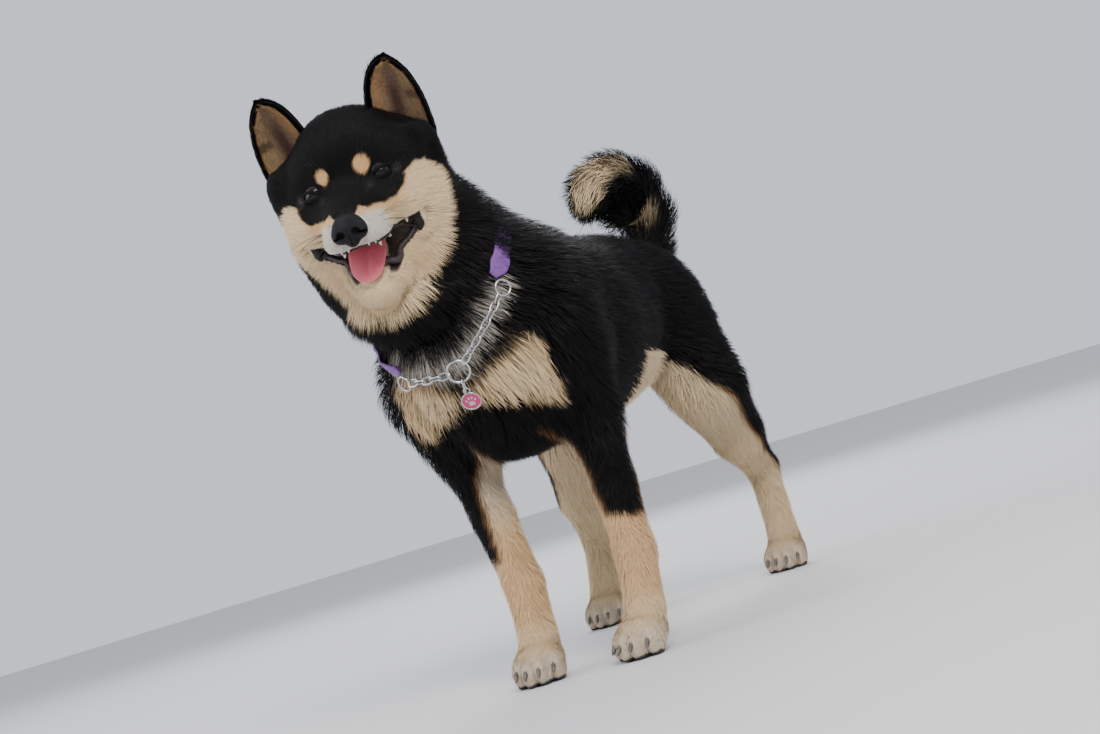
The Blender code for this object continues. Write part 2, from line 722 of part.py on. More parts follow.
def ring_solid(name, at, axis, along, half_len, half_wid, wire, nu=16, nv=6, where=None):
    z = V(*axis) / np.linalg.norm(axis)
    x = V(*along) - z * (V(*along) @ z)
    x /= np.linalg.norm(x)
    m = pose(at, np.stack([x, np.cross(z, x), z], 1))
    bm = bmesh.new()
    link_into(bm, m, half_len, half_wid, wire, nu, nv)
    bmesh.ops.recalc_face_normals(bm, faces=bm.faces)
    return add_object(name, bm, where)


def chain(name, start, end, pitch):
    """overlapping links joined into one solid, laid over the chest"""
    out = None
    a, b = V(*start), V(*end)
    count = int(round(np.linalg.norm(b - a) / pitch)) + 1
    mids = [a + (b - a) * i / (count - 1) for i in range(count)]
    mids = [on_coat(p, LINK[1] + WIRE + 0.0006) for p in mids]
    for i, c in enumerate(mids):
        t = mids[min(i + 1, count - 1)] - mids[max(i - 1, 0)]
        t /= np.linalg.norm(t)
        n = coat_normal(c)
        n = n - t * (n @ t)
        n /= np.linalg.norm(n)
        w = np.cross(t, n)
        turn = np.pi / 4 if i % 2 else -np.pi / 4
        axis = np.cos(turn) * n + np.sin(turn) * w
        ob = ring_solid(name if out is None else "link", c, axis, t, LINK[0], LINK[1], WIRE, 8, 4, None if out is None else cutters)
        out = ob if out is None else combine(out, ob, "UNION")
    clean(out)
    return out, mids


RING_AT = on_coat((-0.0143, -0.2261, 0.2666), 0.0036)
RING_N = coat_normal(RING_AT)
D_LEFT = on_coat((0.0340, -0.2065, 0.3205), 0.0046)
D_RIGHT = on_coat((-0.0640, -0.2235, 0.2720), 0.0046)


def towards(a, b, dist):
    d = V(*b) - V(*a)
    return V(*a) + d / np.linalg.norm(d) * dist


ring_solid("collar_o_ring", RING_AT, RING_N, (1, 0, 0), RING_R, RING_R, RING_WIRE, 16, 5)
for name, at, other in (("collar_d_ring_left", D_LEFT, RING_AT), ("collar_d_ring_right", D_RIGHT, RING_AT)):
    ring_solid(name, at, coat_normal(at), other - at, 0.0068, 0.0066, 0.0010, 12, 5)
for name, at in (("collar_chain_left", D_LEFT), ("collar_chain_right", D_RIGHT)):
    first = towards(at, RING_AT, 0.0078 + LINK[0] + WIRE + 0.0008)
    last = towards(RING_AT, at, RING_R + RING_WIRE + LINK[0] + WIRE + 0.0006)
    chain(name, first, last, 0.0080)

down = V(0, 0, -1) - RING_N * (V(0, 0, -1) @ RING_N)
down /= np.linalg.norm(down)
link_at = RING_AT + down * (RING_R + 0.0036) + RING_N * 0.0004
ring_solid("tag_link", link_at, np.cross(RING_N, down), down, 0.0060, 0.0030, 0.0008, 10, 4)

TAG_AT = on_coat(link_at + down * (0.0060 + 0.0022 + TAG_R), 0.0030)
TAG_N = coat_normal(TAG_AT)
hang = down - TAG_N * (down @ TAG_N)
hang /= np.linalg.norm(hang)
loop_at = TAG_AT - hang * (TAG_R + 0.0020)
m = pose(TAG_AT, frame_along(TAG_N, hang))
tag = solid("tag", lambda b: bmesh.ops.create_cone(b, cap_ends=True, segments=20, radius1=TAG_R, radius2=TAG_R, depth=TAG_THICK, matrix=m))
combine(tag, ring_solid("loop", loop_at, TAG_N, hang, 0.0026, 0.0026, 0.0007, 8, 4, cutters), "UNION")
clean(tag)

# ---------------------------------------------------------------- thin cuts that part the body
for name, L in LEGS.items():
    fe = L["fe"]
    slab(body, (fe[0], fe[1], 0.046), (0, 0, 1), 0.045)
    if name.startswith("front"):
        slab(body, (L["el"][0], L["el"][1] - 0.004, 0.172), (0, 0, 1), 0.046)
    else:
        st, ho = L["st"], L["ho"]
        slab(body, st * 0.62 + ho * 0.38, ho - st, 0.066)

pieces = {}
for name, L in LEGS.items():
    side = 1 if name.endswith("left") else -1
    if name.startswith("front"):
        sh, el = L["sh"], L["el"]
        at = V((sh[0] * 0.5 + el[0] * 0.5) + side * 0.016, -0.128, 0.262)
        pieces[name] = region(body, name + "_upper_arm", pose(at, euler(0, -16, 0)), ball((0.052, 0.070, 0.106)))
    else:
        hi, st = L["hi"], L["st"]
        at = V(st[0] + side * 0.012, (hi[1] + st[1]) / 2 + 0.012, 0.236)
        pieces[name] = region(body, name + "_thigh", pose(at, euler(0, -8, 0)), ball((0.062, 0.088, 0.105)))

level = lambda s: n_c * s
slab(body, c_0 + n_c * 0.027, n_c, 0.16)
slab(body, c_0 - n_c * 0.020, n_c, 0.16)
slab(body, (0, 0.030, 0.30), (0, 1, 0), 0.16)
clean(body)

seeds = {"head": from_head(V(0, 0.030, 0)), "neck": c_0, "chest": V(-0.015, -0.10, 0.28), "loin": V(0, 0.12, 0.31)}
for name, L in LEGS.items():
    seeds[name + "_paw"] = L["to"]
    if name.startswith("front"):
        seeds[name + "_forearm"] = L["el"] * 0.4 + L["ca"] * 0.6
    else:
        seeds[name + "_shank"] = L["ho"]
part_out(body, seeds)

# the tail in two lengths
slab(tail, (0.012, 0.206, 0.400), (-0.20, -0.77, 0.63), 0.09)
clean(tail)
part_out(tail, {"tail_base": V(*TAIL_PATH[1]), "tail_curl": V(*TAIL_PATH[5])})

# ---------------------------------------------------------------- one shell each, on the origin, with its own material
COLOURS = {
    "black": ((0.012, 0.011, 0.012), 0.62, 0.0),
    "tan": ((0.52, 0.33, 0.18), 0.65, 0.0),
    "leather": ((0.010, 0.010, 0.011), 0.38, 0.0),
    "eye": ((0.014, 0.009, 0.007), 0.08, 0.0),
    "tongue": ((0.62, 0.20, 0.22), 0.35, 0.0),
    "tooth": ((0.75, 0.70, 0.58), 0.30, 0.0),
    "webbing": ((0.24, 0.08, 0.33), 0.70, 0.0),
    "steel": ((0.62, 0.62, 0.62), 0.28, 1.0),
    "enamel": ((0.50, 0.06, 0.16), 0.22, 0.0),
}


def finish_of(name):
    for key, colour in (("eye", "eye"), ("nose", "leather"), ("tongue", "tongue"), ("canine", "tooth"), ("webbing", "webbing"),
                        ("tag_link", "steel"), ("tag", "enamel"), ("ring", "steel"), ("chain", "steel"),
                        ("paw", "tan"), ("shank", "tan"), ("jaw", "tan"), ("forearm", "tan")):
        if key in name:
            return colour
    return "black"


for ob in list(parts.objects):
    shells = loose_parts(ob)
    if len(shells) > 1:
        bm = shells[0][2].copy()
        bm.to_mesh(ob.data)
        bm.free()
    for s in shells:
        s[2].free()
    clean(ob)
    for v in ob.data.vertices:
        v.co.x += SHIFT[0]
        v.co.y += SHIFT[1]
    colour, rough, metal = COLOURS[finish_of(ob.name)]
    mat = bpy.data.materials.new(ob.name + "_finish")
    mat.use_nodes = True
    bsdf = mat.node_tree.nodes["Principled BSDF"]
    bsdf.inputs["Base Color"].default_value = (*colour, 1.0)
    bsdf.inputs["Roughness"].default_value = rough
    bsdf.inputs["Metallic"].default_value = metal
    ob.data.materials.clear()
    ob.data.materials.append(mat)
    ob.data.shade_smooth()
    ob.data.set_sharp_from_angle(angle=0.9)

for ob in list(cutters.objects):
    drop(ob)
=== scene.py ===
"""A life-size black and tan shiba inu as a museum model: skin, coat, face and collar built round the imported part."""
import json
import numpy as np
import bpy
import bmesh
from mathutils import Vector, Matrix

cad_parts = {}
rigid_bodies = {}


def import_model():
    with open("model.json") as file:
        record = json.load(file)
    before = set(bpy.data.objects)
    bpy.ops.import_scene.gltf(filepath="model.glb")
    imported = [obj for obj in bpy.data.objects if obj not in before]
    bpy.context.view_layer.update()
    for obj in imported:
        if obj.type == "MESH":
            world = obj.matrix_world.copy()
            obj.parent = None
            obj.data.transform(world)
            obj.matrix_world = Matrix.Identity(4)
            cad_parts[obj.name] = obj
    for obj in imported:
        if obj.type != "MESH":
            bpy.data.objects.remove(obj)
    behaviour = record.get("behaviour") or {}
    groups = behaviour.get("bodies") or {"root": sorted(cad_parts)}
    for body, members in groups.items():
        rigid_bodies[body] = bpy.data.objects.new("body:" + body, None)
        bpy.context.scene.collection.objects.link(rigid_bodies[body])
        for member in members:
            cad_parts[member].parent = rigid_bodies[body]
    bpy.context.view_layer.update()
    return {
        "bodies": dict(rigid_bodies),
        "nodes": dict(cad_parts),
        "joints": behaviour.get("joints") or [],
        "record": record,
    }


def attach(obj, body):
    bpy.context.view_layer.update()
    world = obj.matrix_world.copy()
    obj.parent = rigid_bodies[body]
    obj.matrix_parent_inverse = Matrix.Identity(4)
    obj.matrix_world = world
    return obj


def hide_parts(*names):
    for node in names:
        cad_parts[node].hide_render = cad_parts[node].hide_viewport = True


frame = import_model()
rng = np.random.default_rng(11)

SHIFT = (0.0168, 0.0158)     # from the frame that the shapes are written in to the row's frame
NECK_DIR = (-0.27, -0.60, 0.75)
COLLAR_AT = (-0.030, -0.158, 0.350)
EYE_R, EYE_AT = 0.0092, (0.0285, -0.0075, 0.0020)
NOSE_AT, NOSE_SIZE = (0.0, -0.0640, -0.0335), (0.0148, 0.0105, 0.0125)


def V(*a):
    return np.array(a, np.float64)


def euler(yaw=0, pitch=0, roll=0):
    a, b, c = np.radians([yaw, pitch, roll])
    rz = np.array([[np.cos(a), -np.sin(a), 0], [np.sin(a), np.cos(a), 0], [0, 0, 1]])
    rx = np.array([[1, 0, 0], [0, np.cos(b), -np.sin(b)], [0, np.sin(b), np.cos(b)]])
    ry = np.array([[np.cos(c), 0, np.sin(c)], [0, 1, 0], [-np.sin(c), 0, np.cos(c)]])
    return rz @ rx @ ry


def f_ellipsoid(p, c, r, rot=None):
    q = p - c
    if rot is not None:
        q = q @ rot
    a = q / r
    k0 = np.sqrt((a * a).sum(-1))
    b = a / r
    k1 = np.sqrt((b * b).sum(-1)) + 1e-9
    return k0 * (k0 - 1) / k1


def f_cone(p, a, b, ra, rb):
    ba = b - a
    l2 = ba @ ba
    rr = ra - rb
    a2 = l2 - rr * rr
    il2 = 1 / l2
    pa = p - a
    y = pa @ ba
    z = y - l2
    w = pa * l2 - ba * y[..., None]
    x2 = (w * w).sum(-1)
    y2 = y * y * l2
    z2 = z * z * l2
    k = np.sign(rr) * rr * rr * x2
    d = (np.sqrt(x2 * a2 * il2) + y * rr) * il2 - ra
    d = np.where(np.sign(z) * a2 * z2 > k, np.sqrt(x2 + z2) * il2 - rb, d)
    d = np.where(np.sign(y) * a2 * y2 < k, np.sqrt(x2 + y2) * il2 - ra, d)
    return d


def blend(a, b, k):
    h = np.clip(0.5 + 0.5 * (b - a) / k, 0, 1)
    return b + (a - b) * h - k * h * (1 - h)


def carve(a, b, k):
    h = np.clip(0.5 - 0.5 * (a + b) / k, 0, 1)
    return a + (-b - a) * h + k * h * (1 - h)


# the head's place: the point midway between the eyes, turned to the dog's left and dipped
HEAD_POS = V(-0.0430, -0.2625, 0.4334)
HEAD_R = euler(16.5, 10.7, -1.6)


def to_head(p):
    return (p - HEAD_POS) @ HEAD_R


def from_head(q):
    return q @ HEAD_R.T + HEAD_POS


# joints of the four legs
LEGS = {
    "front_left": dict(sh=V(0.047, -0.150, 0.285), el=V(0.043, -0.118, 0.200), ca=V(0.056, -0.146, 0.084), fe=V(0.055, -0.160, 0.036), to=V(0.050, -0.186, 0.0150)),
    "front_right": dict(sh=V(-0.096, -0.148, 0.272), el=V(-0.085, -0.120, 0.203), ca=V(-0.049, -0.153, 0.082), fe=V(-0.041, -0.172, 0.036), to=V(-0.037, -0.198, 0.0150)),
    "hind_left": dict(hi=V(0.024, 0.168, 0.300), st=V(0.056, 0.170, 0.208), ho=V(0.056, 0.276, 0.110), fe=V(0.061, 0.260, 0.034), to=V(0.062, 0.236, 0.0145)),
    "hind_right": dict(hi=V(-0.058, 0.155, 0.300), st=V(-0.078, 0.110, 0.205), ho=V(-0.114, 0.184, 0.088), fe=V(-0.112, 0.158, 0.034), to=V(-0.108, 0.132, 0.0145)),
}

# the masses that the coat's outline is blended from:
# (shape, frame, mirrored, blend radius, numbers)
BODY = []


def E(c, r, k, rot=None, frame="world", mirror=False):
    BODY.append(("E", frame, mirror, k, (V(*c), V(*r), rot, 1.0)))


def C(a, b, ra, rb, k, frame="world", mirror=False, xs=1.0):
    BODY.append(("C", frame, mirror, k, (V(*a), V(*b), ra, rb, xs)))


# trunk
E((-0.004, -0.040, 0.290), (0.082, 0.150, 0.092), 0.03)
E((-0.026, -0.122, 0.262), (0.086, 0.080, 0.080), 0.03)
E((0.000, -0.080, 0.335), (0.048, 0.080, 0.046), 0.03)
E((-0.002, 0.090, 0.316), (0.066, 0.115, 0.072), 0.03)
E((-0.006, 0.055, 0.272), (0.058, 0.115, 0.062), 0.03)
E((-0.006, 0.165, 0.314), (0.070, 0.082, 0.070), 0.03)
# neck
C((-0.052, -0.208, 0.412), (-0.014, -0.122, 0.305), 0.062, 0.080, 0.03)
E((-0.034, -0.170, 0.312), (0.070, 0.068, 0.085), 0.03)
C((-0.050, -0.188, 0.440), (-0.006, -0.090, 0.332), 0.049, 0.045, 0.02)


def paw_masses(fe, to):
    fw = (to - fe) * V(1, 1, 0)
    fw /= np.linalg.norm(fw)
    side = V(-fw[1], fw[0], 0)
    frame = np.stack([side, fw, V(0, 0, 1)], 1)
    E(to - fw * 0.012 + V(0, 0, 0.003), (0.0225, 0.024, 0.0175), 0.010, frame)
    for o, f in ((-0.0160, -0.003), (-0.0056, 0.006), (0.0056, 0.006), (0.0160, -0.003)):
        E(to + side * o + fw * f + V(0, 0, -0.003), (0.0078, 0.014, 0.0130), 0.004, frame)


for name, L in LEGS.items():
    fe, to = L["fe"], L["to"]
    if name.startswith("front"):
        sh, el, ca = L["sh"], L["el"], L["ca"]
        E(sh + V(0, 0.020, 0.004), (0.028, 0.056, 0.070), 0.022, euler(0, -18, 0))
        C(sh, el, 0.034, 0.025, 0.03)
        mid = el * 0.5 + ca * 0.5
        C(el, mid, 0.0245, 0.0208, 0.02)
        C(mid, ca, 0.0208, 0.0185, 0.006)
        C(ca, fe, 0.0190, 0.0185, 0.008)
    else:
        hi, st, ho = L["hi"], L["st"], L["ho"]
        C(hi, st, 0.058, 0.042, 0.026)
        C(hi + V(0, 0.034, -0.015), st * 0.4 + ho * 0.6 + V(0, 0, 0.010), 0.044, 0.026, 0.03)
        mid = st * 0.45 + ho * 0.55 + V(0, -0.006, -0.004)
        C(st, mid, 0.038, 0.029, 0.02)
        C(mid, ho, 0.029, 0.0180, 0.006)
        C(ho, fe, 0.0180, 0.0180, 0.010)
    paw_masses(fe, to)

# head: skull, ear roots, brow, cheeks, ruff, throat, muzzle, whisker pads, lower jaw
E((0, 0.050, 0.008), (0.058, 0.062, 0.061), 0.022, None, "head")
E((0.048, 0.054, 0.006), (0.025, 0.032, 0.032), 0.02, None, "head", True)
E((0, 0.020, 0.008), (0.044, 0.030, 0.030), 0.02, None, "head")
E((0.0590, 0.036, 0.0170), (0.0165, 0.0190, 0.0195), 0.012, None, "head", True)
E((0.040, 0.034, -0.026), (0.032, 0.044, 0.040), 0.02, None, "head", True)
E((0.026, 0.004, -0.026), (0.024, 0.030, 0.020), 0.016, None, "head", True)
E((0.031, 0.046, -0.064), (0.036, 0.042, 0.046), 0.02, None, "head", True)
E((0, 0.030, -0.088), (0.046, 0.044, 0.040), 0.02, None, "head")
E((0, 0.008, -0.104), (0.044, 0.036, 0.030), 0.02, None, "head")
C((0, 0.006, -0.020), (0, -0.050, -0.031), 0.031, 0.0180, 0.014, "head", False, 0.86)
E((0.0125, -0.038, -0.040), (0.0155, 0.026, 0.0155), 0.008, None, "head", True)
C((0, 0.014, -0.066), (0, -0.026, -0.086), 0.030, 0.0160, 0.010, "head", False, 0.80)

# tail: curled over the loin
TAIL_PATH = ((0.012, 0.206, 0.338), (0.020, 0.238, 0.370), (0.027, 0.246, 0.406), (0.025, 0.228, 0.436), (0.014, 0.200, 0.448), (0.002, 0.176, 0.443), (-0.004, 0.160, 0.428))
TAIL_R = (0.027, 0.029, 0.031, 0.032, 0.032, 0.030, 0.024)
TAIL = [("C", "world", False, 0.014, (V(*TAIL_PATH[i]), V(*TAIL_PATH[i + 1]), TAIL_R[i], TAIL_R[i + 1], 1.0)) for i in range(len(TAIL_PATH) - 1)]
TAIL.append(("E", "world", False, 0.014, (V(0.012, 0.206, 0.410), V(0.026, 0.030, 0.030), None, 1.0)))


def masses_field(p, q, table):
    d = None
    for shape, frame, mirror, k, g in table:
        w = q if frame == "head" else p
        if mirror:
            w = np.stack([np.abs(w[..., 0]), w[..., 1], w[..., 2]], -1)
        if shape == "E":
            e = f_ellipsoid(w, g[0], g[1], g[2])
        else:
            e = f_cone(w * V(g[4], 1, 1) if g[4] != 1.0 else w, g[0], g[1], g[2], g[3])
        d = e if d is None else blend(d, e, k)
    return d


# the open mouth: a wedge whose edge joins its corners, and the hollow of the palate
MOUTH_APEX = V(0, 0.003, -0.0365)
MOUTH_UP, MOUTH_DOWN, MOUTH_HALF = 0.21, 1.00, 0.041


def f_mouth(q):
    x, y, z = np.abs(q[..., 0]), q[..., 1], q[..., 2]
    f = MOUTH_APEX[1] - y
    up = (z - MOUTH_APEX[2] + MOUTH_UP * f) / np.hypot(1, MOUTH_UP)
    lo = -(z - MOUTH_APEX[2] + MOUTH_DOWN * f) / np.hypot(1, MOUTH_DOWN)
    d = np.maximum(np.maximum(up, lo), x - MOUTH_HALF)
    pal = f_ellipsoid(q, V(0, -0.022, -0.052), V(0.021, 0.030, 0.014), euler(0, 12, 0))
    return blend(d, pal, 0.006)


# ears: cupped triangles between an inner and an outer edge curve
EAR_IN = (V(0.0285, 0.036, 0.058), V(0.037, 0.028, 0.092), V(0.0570, 0.032, 0.0915))
EAR_OUT = (V(0.0745, 0.050, 0.024), V(0.0790, 0.038, 0.076), V(0.0570, 0.032, 0.0915))
EAR_BACK = V(-0.10, 0.93, 0.30) / np.linalg.norm(V(-0.10, 0.93, 0.30))
EAR_BOWL = (V(0.0545, 0.032, 0.058), V(0.017, 0.015, 0.025), euler(0, 0, -25))


def bezier(c, t):
    t = t[..., None]
    return (1 - t) ** 2 * c[0] + 2 * t * (1 - t) * c[1] + t * t * c[2]


def ear_sheet(u, v):
    """u from 0 at the inner edge to 1 at the outer, v from 0 at the skull to 1 at the tip"""
    v = np.where(v > 0, v * (0.965 - 0.10 * np.abs(2 * u - 1) ** 2.5 * v * v), v)
    up, dn = np.maximum(v, 0), np.minimum(v, 0)[..., None]
    a = bezier(EAR_IN, up) + dn * (2 * (EAR_IN[1] - EAR_IN[0])) * 0.6
    b = bezier(EAR_OUT, up) + dn * (2 * (EAR_OUT[1] - EAR_OUT[0])) * 0.4
    w = np.linalg.norm(b - a, axis=-1)
    bow = 0.34 * w * (4 * u * (1 - u)) ** 0.75
    return a + (b - a) * u[..., None] + bow[..., None] * EAR_BACK


def ear_sides(nu, nv, side, thick, v0, vtop=0.992):
    """front and back points of the ear's shell"""
    u = (1 - np.cos(np.linspace(0, np.pi, nu))) / 2
    v = np.minimum(v0 + (1 - v0) * (1 - (1 - np.linspace(0, 1, nv)) ** 1.4), vtop)
    uu, vv = np.meshgrid(u, v, indexing="ij")
    e = 1e-3
    p = ear_sheet(uu, vv)
    du = ear_sheet(np.clip(uu + e, 0, 1), vv) - ear_sheet(np.clip(uu - e, 0, 1), vv)
    dv = ear_sheet(uu, np.minimum(vv + e, 1)) - ear_sheet(uu, vv - e)
    n = np.cross(du, dv)
    n /= np.linalg.norm(n, axis=-1)[..., None] + 1e-12
    if n[nu // 2, nv // 2, 1] < 0:
        n = -n
    n[0], n[-1] = n[1], n[-2]
    t = thick * (0.35 + 0.65 * np.sqrt(np.clip(4 * uu * (1 - uu), 0, 1))) * (1 - 0.45 * np.clip(vv, 0, 1) ** 3)
    flip = V(side, 1, 1)
    return (p - n * t[..., None] / 2) * flip, (p + n * t[..., None] / 2) * flip


def f_trunk_head(p):
    """the coat's outline without tail and ears"""
    q = to_head(p)
    d = masses_field(p, q, BODY)
    return d


def f_body(p):
    q = to_head(p)
    d = masses_field(p, q, BODY)
    d = carve(d, f_mouth(q), 0.004)
    m = np.stack([np.abs(q[..., 0]), q[..., 1], q[..., 2]], -1)
    return carve(d, f_ellipsoid(m, *EAR_BOWL), 0.005)


def f_tail(p):
    return masses_field(p, p, TAIL)

# ---------------------------------------------------------------- fields of the outline and of the skin
NC = V(*NECK_DIR) / np.linalg.norm(NECK_DIR)
C0 = V(*COLLAR_AT)


def ss(a, b, x):
    t = np.clip((x - a) / (b - a), 0, 1)
    return t * t * (3 - 2 * t)


def mix(a, b, t):
    if np.ndim(a) == 2 or np.ndim(b) == 2 or (np.ndim(a) == 1 and np.shape(a) == (3,)):
        t = np.asarray(t)[:, None]
    return a + (b - a) * t


def f_gape(q):
    """the open mouth with the lower lips drawn down at the sides"""
    x, y = np.abs(q[..., 0]), q[..., 1]
    f = MOUTH_APEX[1] - y
    sag = 0.0125 * np.exp(-((f - 0.022) / 0.018) ** 2) * ss(0.0, 0.008, f) * (0.15 + 0.85 * ss(0.006, 0.019, x))
    k = q.copy()
    rise = 0.0030 * np.exp(-((f - 0.008) / 0.008) ** 2) * ss(0.024, 0.034, x)
    mid = MOUTH_APEX[2] - 0.60 * f
    k[..., 2] = np.where(q[..., 2] < mid, np.minimum(q[..., 2] + sag, mid), np.minimum(q[..., 2], np.maximum(q[..., 2] - rise, mid)))
    return f_mouth(k)


def wide_gape(q):
    """the opening as it is seen past the cheeks' fur at the corners of the mouth"""
    k = q.copy()
    k[..., 0] = np.clip(k[..., 0], -0.034, 0.034)
    return f_gape(k)


def f_whole(p):
    return blend(f_body(p), f_tail(p), 0.012)


def leg_depth(p, q):
    """how deep the coat is at each point"""
    z, y = p[..., 2], p[..., 1]
    s = (p - C0) @ NC
    leg = 1 - ss(0.150, 0.240, z)
    d = mix(0.0135, 0.0048, leg)
    d = d + 0.004 * np.exp(-((s - 0.005) / 0.040) ** 2)
    breech = ss(0.19, 0.25, y) * ss(0.10, 0.17, z) * (1 - ss(0.30, 0.34, z))
    d = d + 0.005 * breech
    d = mix(d, 0.0019, 1 - ss(0.030, 0.058, z))
    x = np.abs(q[..., 0])
    hy, hz = q[..., 1], q[..., 2]
    ruff = ss(-0.066, -0.094, hz) * ss(-0.040, -0.014, hy)
    cheek = ss(0.034, 0.062, x) * ss(0.014, -0.016, hz) * ss(-0.020, 0.012, hy)
    face = mix(0.0030, 0.0080, ss(0.02, 0.08, hy)) + 0.0060 * cheek + 0.0080 * ruff
    muzzle = ss(-0.014, -0.030, hy) * (1 - ruff)
    face = mix(face, 0.0011, muzzle)
    lips = ss(0.012, 0.002, f_gape(q))
    face = mix(face, 0.0010, lips)
    d = mix(d, face, ss(0.015, 0.070, s))
    tail = ss(0.006, -0.006, f_tail(p) - 0.004)
    return mix(d, 0.0150, tail)


def f_eyehole(q):
    m = np.stack([np.abs(q[..., 0]), q[..., 1], q[..., 2]], -1)
    return f_ellipsoid(m, V(*EYE_AT) + V(0.0022, -0.0085, 0.0006), V(0.0072, 0.0085, 0.0042), euler(22, 0, -8))


def f_skin(p):
    q = to_head(p)
    d = masses_field(p, q, BODY)
    d = blend(d, f_tail(p), 0.012) + leg_depth(p, q)
    d = carve(d, f_gape(q) - 0.0004, 0.003)
    m = np.stack([np.abs(q[..., 0]), q[..., 1], q[..., 2]], -1)
    d = carve(d, f_ellipsoid(m, *EAR_BOWL), 0.005)
    return carve(d, f_eyehole(q), 0.0015)


def grad(f, v, eps=5e-4):
    g = np.stack([f(v + np.eye(3)[i] * eps) - f(v - np.eye(3)[i] * eps) for i in range(3)], -1)
    return g / (np.linalg.norm(g, axis=-1)[:, None] + 1e-12)


def surface_nets(f, lo, hi, h, coarse=4, band=2.2):
    n = np.ceil((hi - lo) / (h * coarse)).astype(int) * coarse + 1
    cn = (n - 1) // coarse
    cc = np.stack(np.meshgrid(*[lo[i] + h * coarse * (np.arange(cn[i]) + 0.5) for i in range(3)], indexing="ij"), -1)
    dc = f(cc.reshape(-1, 3)).reshape(cn)
    F = np.full(n, 1.0, np.float32)
    sgn = np.where(dc < 0, -1.0, 1.0).astype(np.float32)
    F[:-1, :-1, :-1] = np.repeat(np.repeat(np.repeat(sgn, coarse, 0), coarse, 1), coarse, 2)
    mask = np.zeros(n, bool)
    idx = np.argwhere(np.abs(dc) < h * coarse * band * 0.9)
    off = np.stack(np.meshgrid(*[np.arange(coarse + 1)] * 3, indexing="ij"), -1).reshape(-1, 3)
    for s in range(0, len(idx), 20000):
        g = (idx[s:s + 20000, None, :] * coarse + off[None]).reshape(-1, 3)
        mask[g[:, 0], g[:, 1], g[:, 2]] = True
    g = np.argwhere(mask)
    for s in range(0, len(g), 300000):
        gg = g[s:s + 300000]
        F[gg[:, 0], gg[:, 1], gg[:, 2]] = f(lo + gg * h)
    S = F < 0
    c = np.zeros(np.array(n) - 1, np.int8)
    for dx in (0, 1):
        for dy in (0, 1):
            for dz in (0, 1):
                c += S[dx:n[0] - 1 + dx, dy:n[1] - 1 + dy, dz:n[2] - 1 + dz]
    act = (c > 0) & (c < 8)
    ids = np.full(act.shape, -1, np.int64)
    cells = np.argwhere(act)
    ids[act] = np.arange(len(cells))
    acc = np.zeros((len(cells), 3))
    cnt = np.zeros(len(cells))
    corner = [(i, j, k) for k in (0, 1) for j in (0, 1) for i in (0, 1)]
    for a in range(8):
        for b in range(a + 1, 8):
            A, B = np.array(corner[a]), np.array(corner[b])
            if np.abs(A - B).sum() != 1:
                continue
            fa, fb = F[tuple((cells + A).T)], F[tuple((cells + B).T)]
            m = (fa < 0) != (fb < 0)
            acc[m] += A + (B - A) * (fa[m] / (fa[m] - fb[m]))[:, None]
            cnt[m] += 1
    verts = lo + (cells + acc / np.maximum(cnt, 1)[:, None]) * h
    quads = []
    for a in range(3):
        s0 = S[tuple(slice(0, n[a] - 1) if i == a else slice(None) for i in range(3))]
        s1 = S[tuple(slice(1, n[a]) if i == a else slice(None) for i in range(3))]
        e = np.argwhere(s0 != s1)
        u, v = (a + 1) % 3, (a + 2) % 3
        e = e[(e[:, u] > 0) & (e[:, v] > 0) & (e[:, u] < n[u] - 1) & (e[:, v] < n[v] - 1)]
        flip = s0[tuple(e.T)]

        def cell(du, dv):
            k = e.copy()
            k[:, u] -= du
            k[:, v] -= dv
            return ids[tuple(k.T)]
        k = np.stack([cell(1, 1), cell(0, 1), cell(0, 0), cell(1, 0)], 1)
        k[~flip] = k[~flip][:, ::-1]
        quads.append(k)
    quads = np.concatenate(quads)
    return verts, quads[(quads >= 0).all(1)]


def project_to(f, v, iters=2, eps=4e-4, step=0.003):
    for _ in range(iters):
        d = f(v)
        g = np.stack([f(v + np.eye(3)[i] * eps) - f(v - np.eye(3)[i] * eps) for i in range(3)], -1) / (2 * eps)
        v = v - np.clip(d / np.maximum((g * g).sum(-1), 0.25), -step, step)[:, None] * g
    return v


# ---------------------------------------------------------------- noise
def hashed(i, seed):
    h = (i[..., 0] * 73856093) ^ (i[..., 1] * 19349663) ^ (i[..., 2] * 83492791) ^ (seed * 2654435761)
    h = (h ^ (h >> 13)) * 1274126177
    h = (h ^ (h >> 16)) & 0xFFFFFF
    return h / float(0xFFFFFF)


def noise(p, size, seed=0):
    """smooth noise from -1 to 1, size metres from bump to bump"""
    g = p / size
    i = np.floor(g).astype(np.int64)
    t = g - i
    t = t * t * (3 - 2 * t)
    out = 0
    for dx in (0, 1):
        for dy in (0, 1):
            for dz in (0, 1):
                w = (t[..., 0] if dx else 1 - t[..., 0]) * (t[..., 1] if dy else 1 - t[..., 1]) * (t[..., 2] if dz else 1 - t[..., 2])
                out = out + w * hashed(i + np.array([dx, dy, dz]), seed)
    return out * 2 - 1


def nearest_centre(p, size, seed):
    """the nearest of a jittered lattice of lock centres, and a number for it"""
    g = p / size
    i = np.floor(g).astype(np.int64)
    best = np.full(len(p), 1e9)
    at = np.zeros_like(p)
    num = np.zeros(len(p))
    for dx in (-1, 0, 1):
        for dy in (-1, 0, 1):
            for dz in (-1, 0, 1):
                j = i + np.array([dx, dy, dz])
                c = j + np.stack([hashed(j, seed + k) for k in range(3)], -1)
                d = ((c - g) ** 2).sum(-1)
                m = d < best
                best[m] = d[m]
                at[m] = c[m] * size
                num[m] = hashed(j, seed + 7)[m]
    return at, num


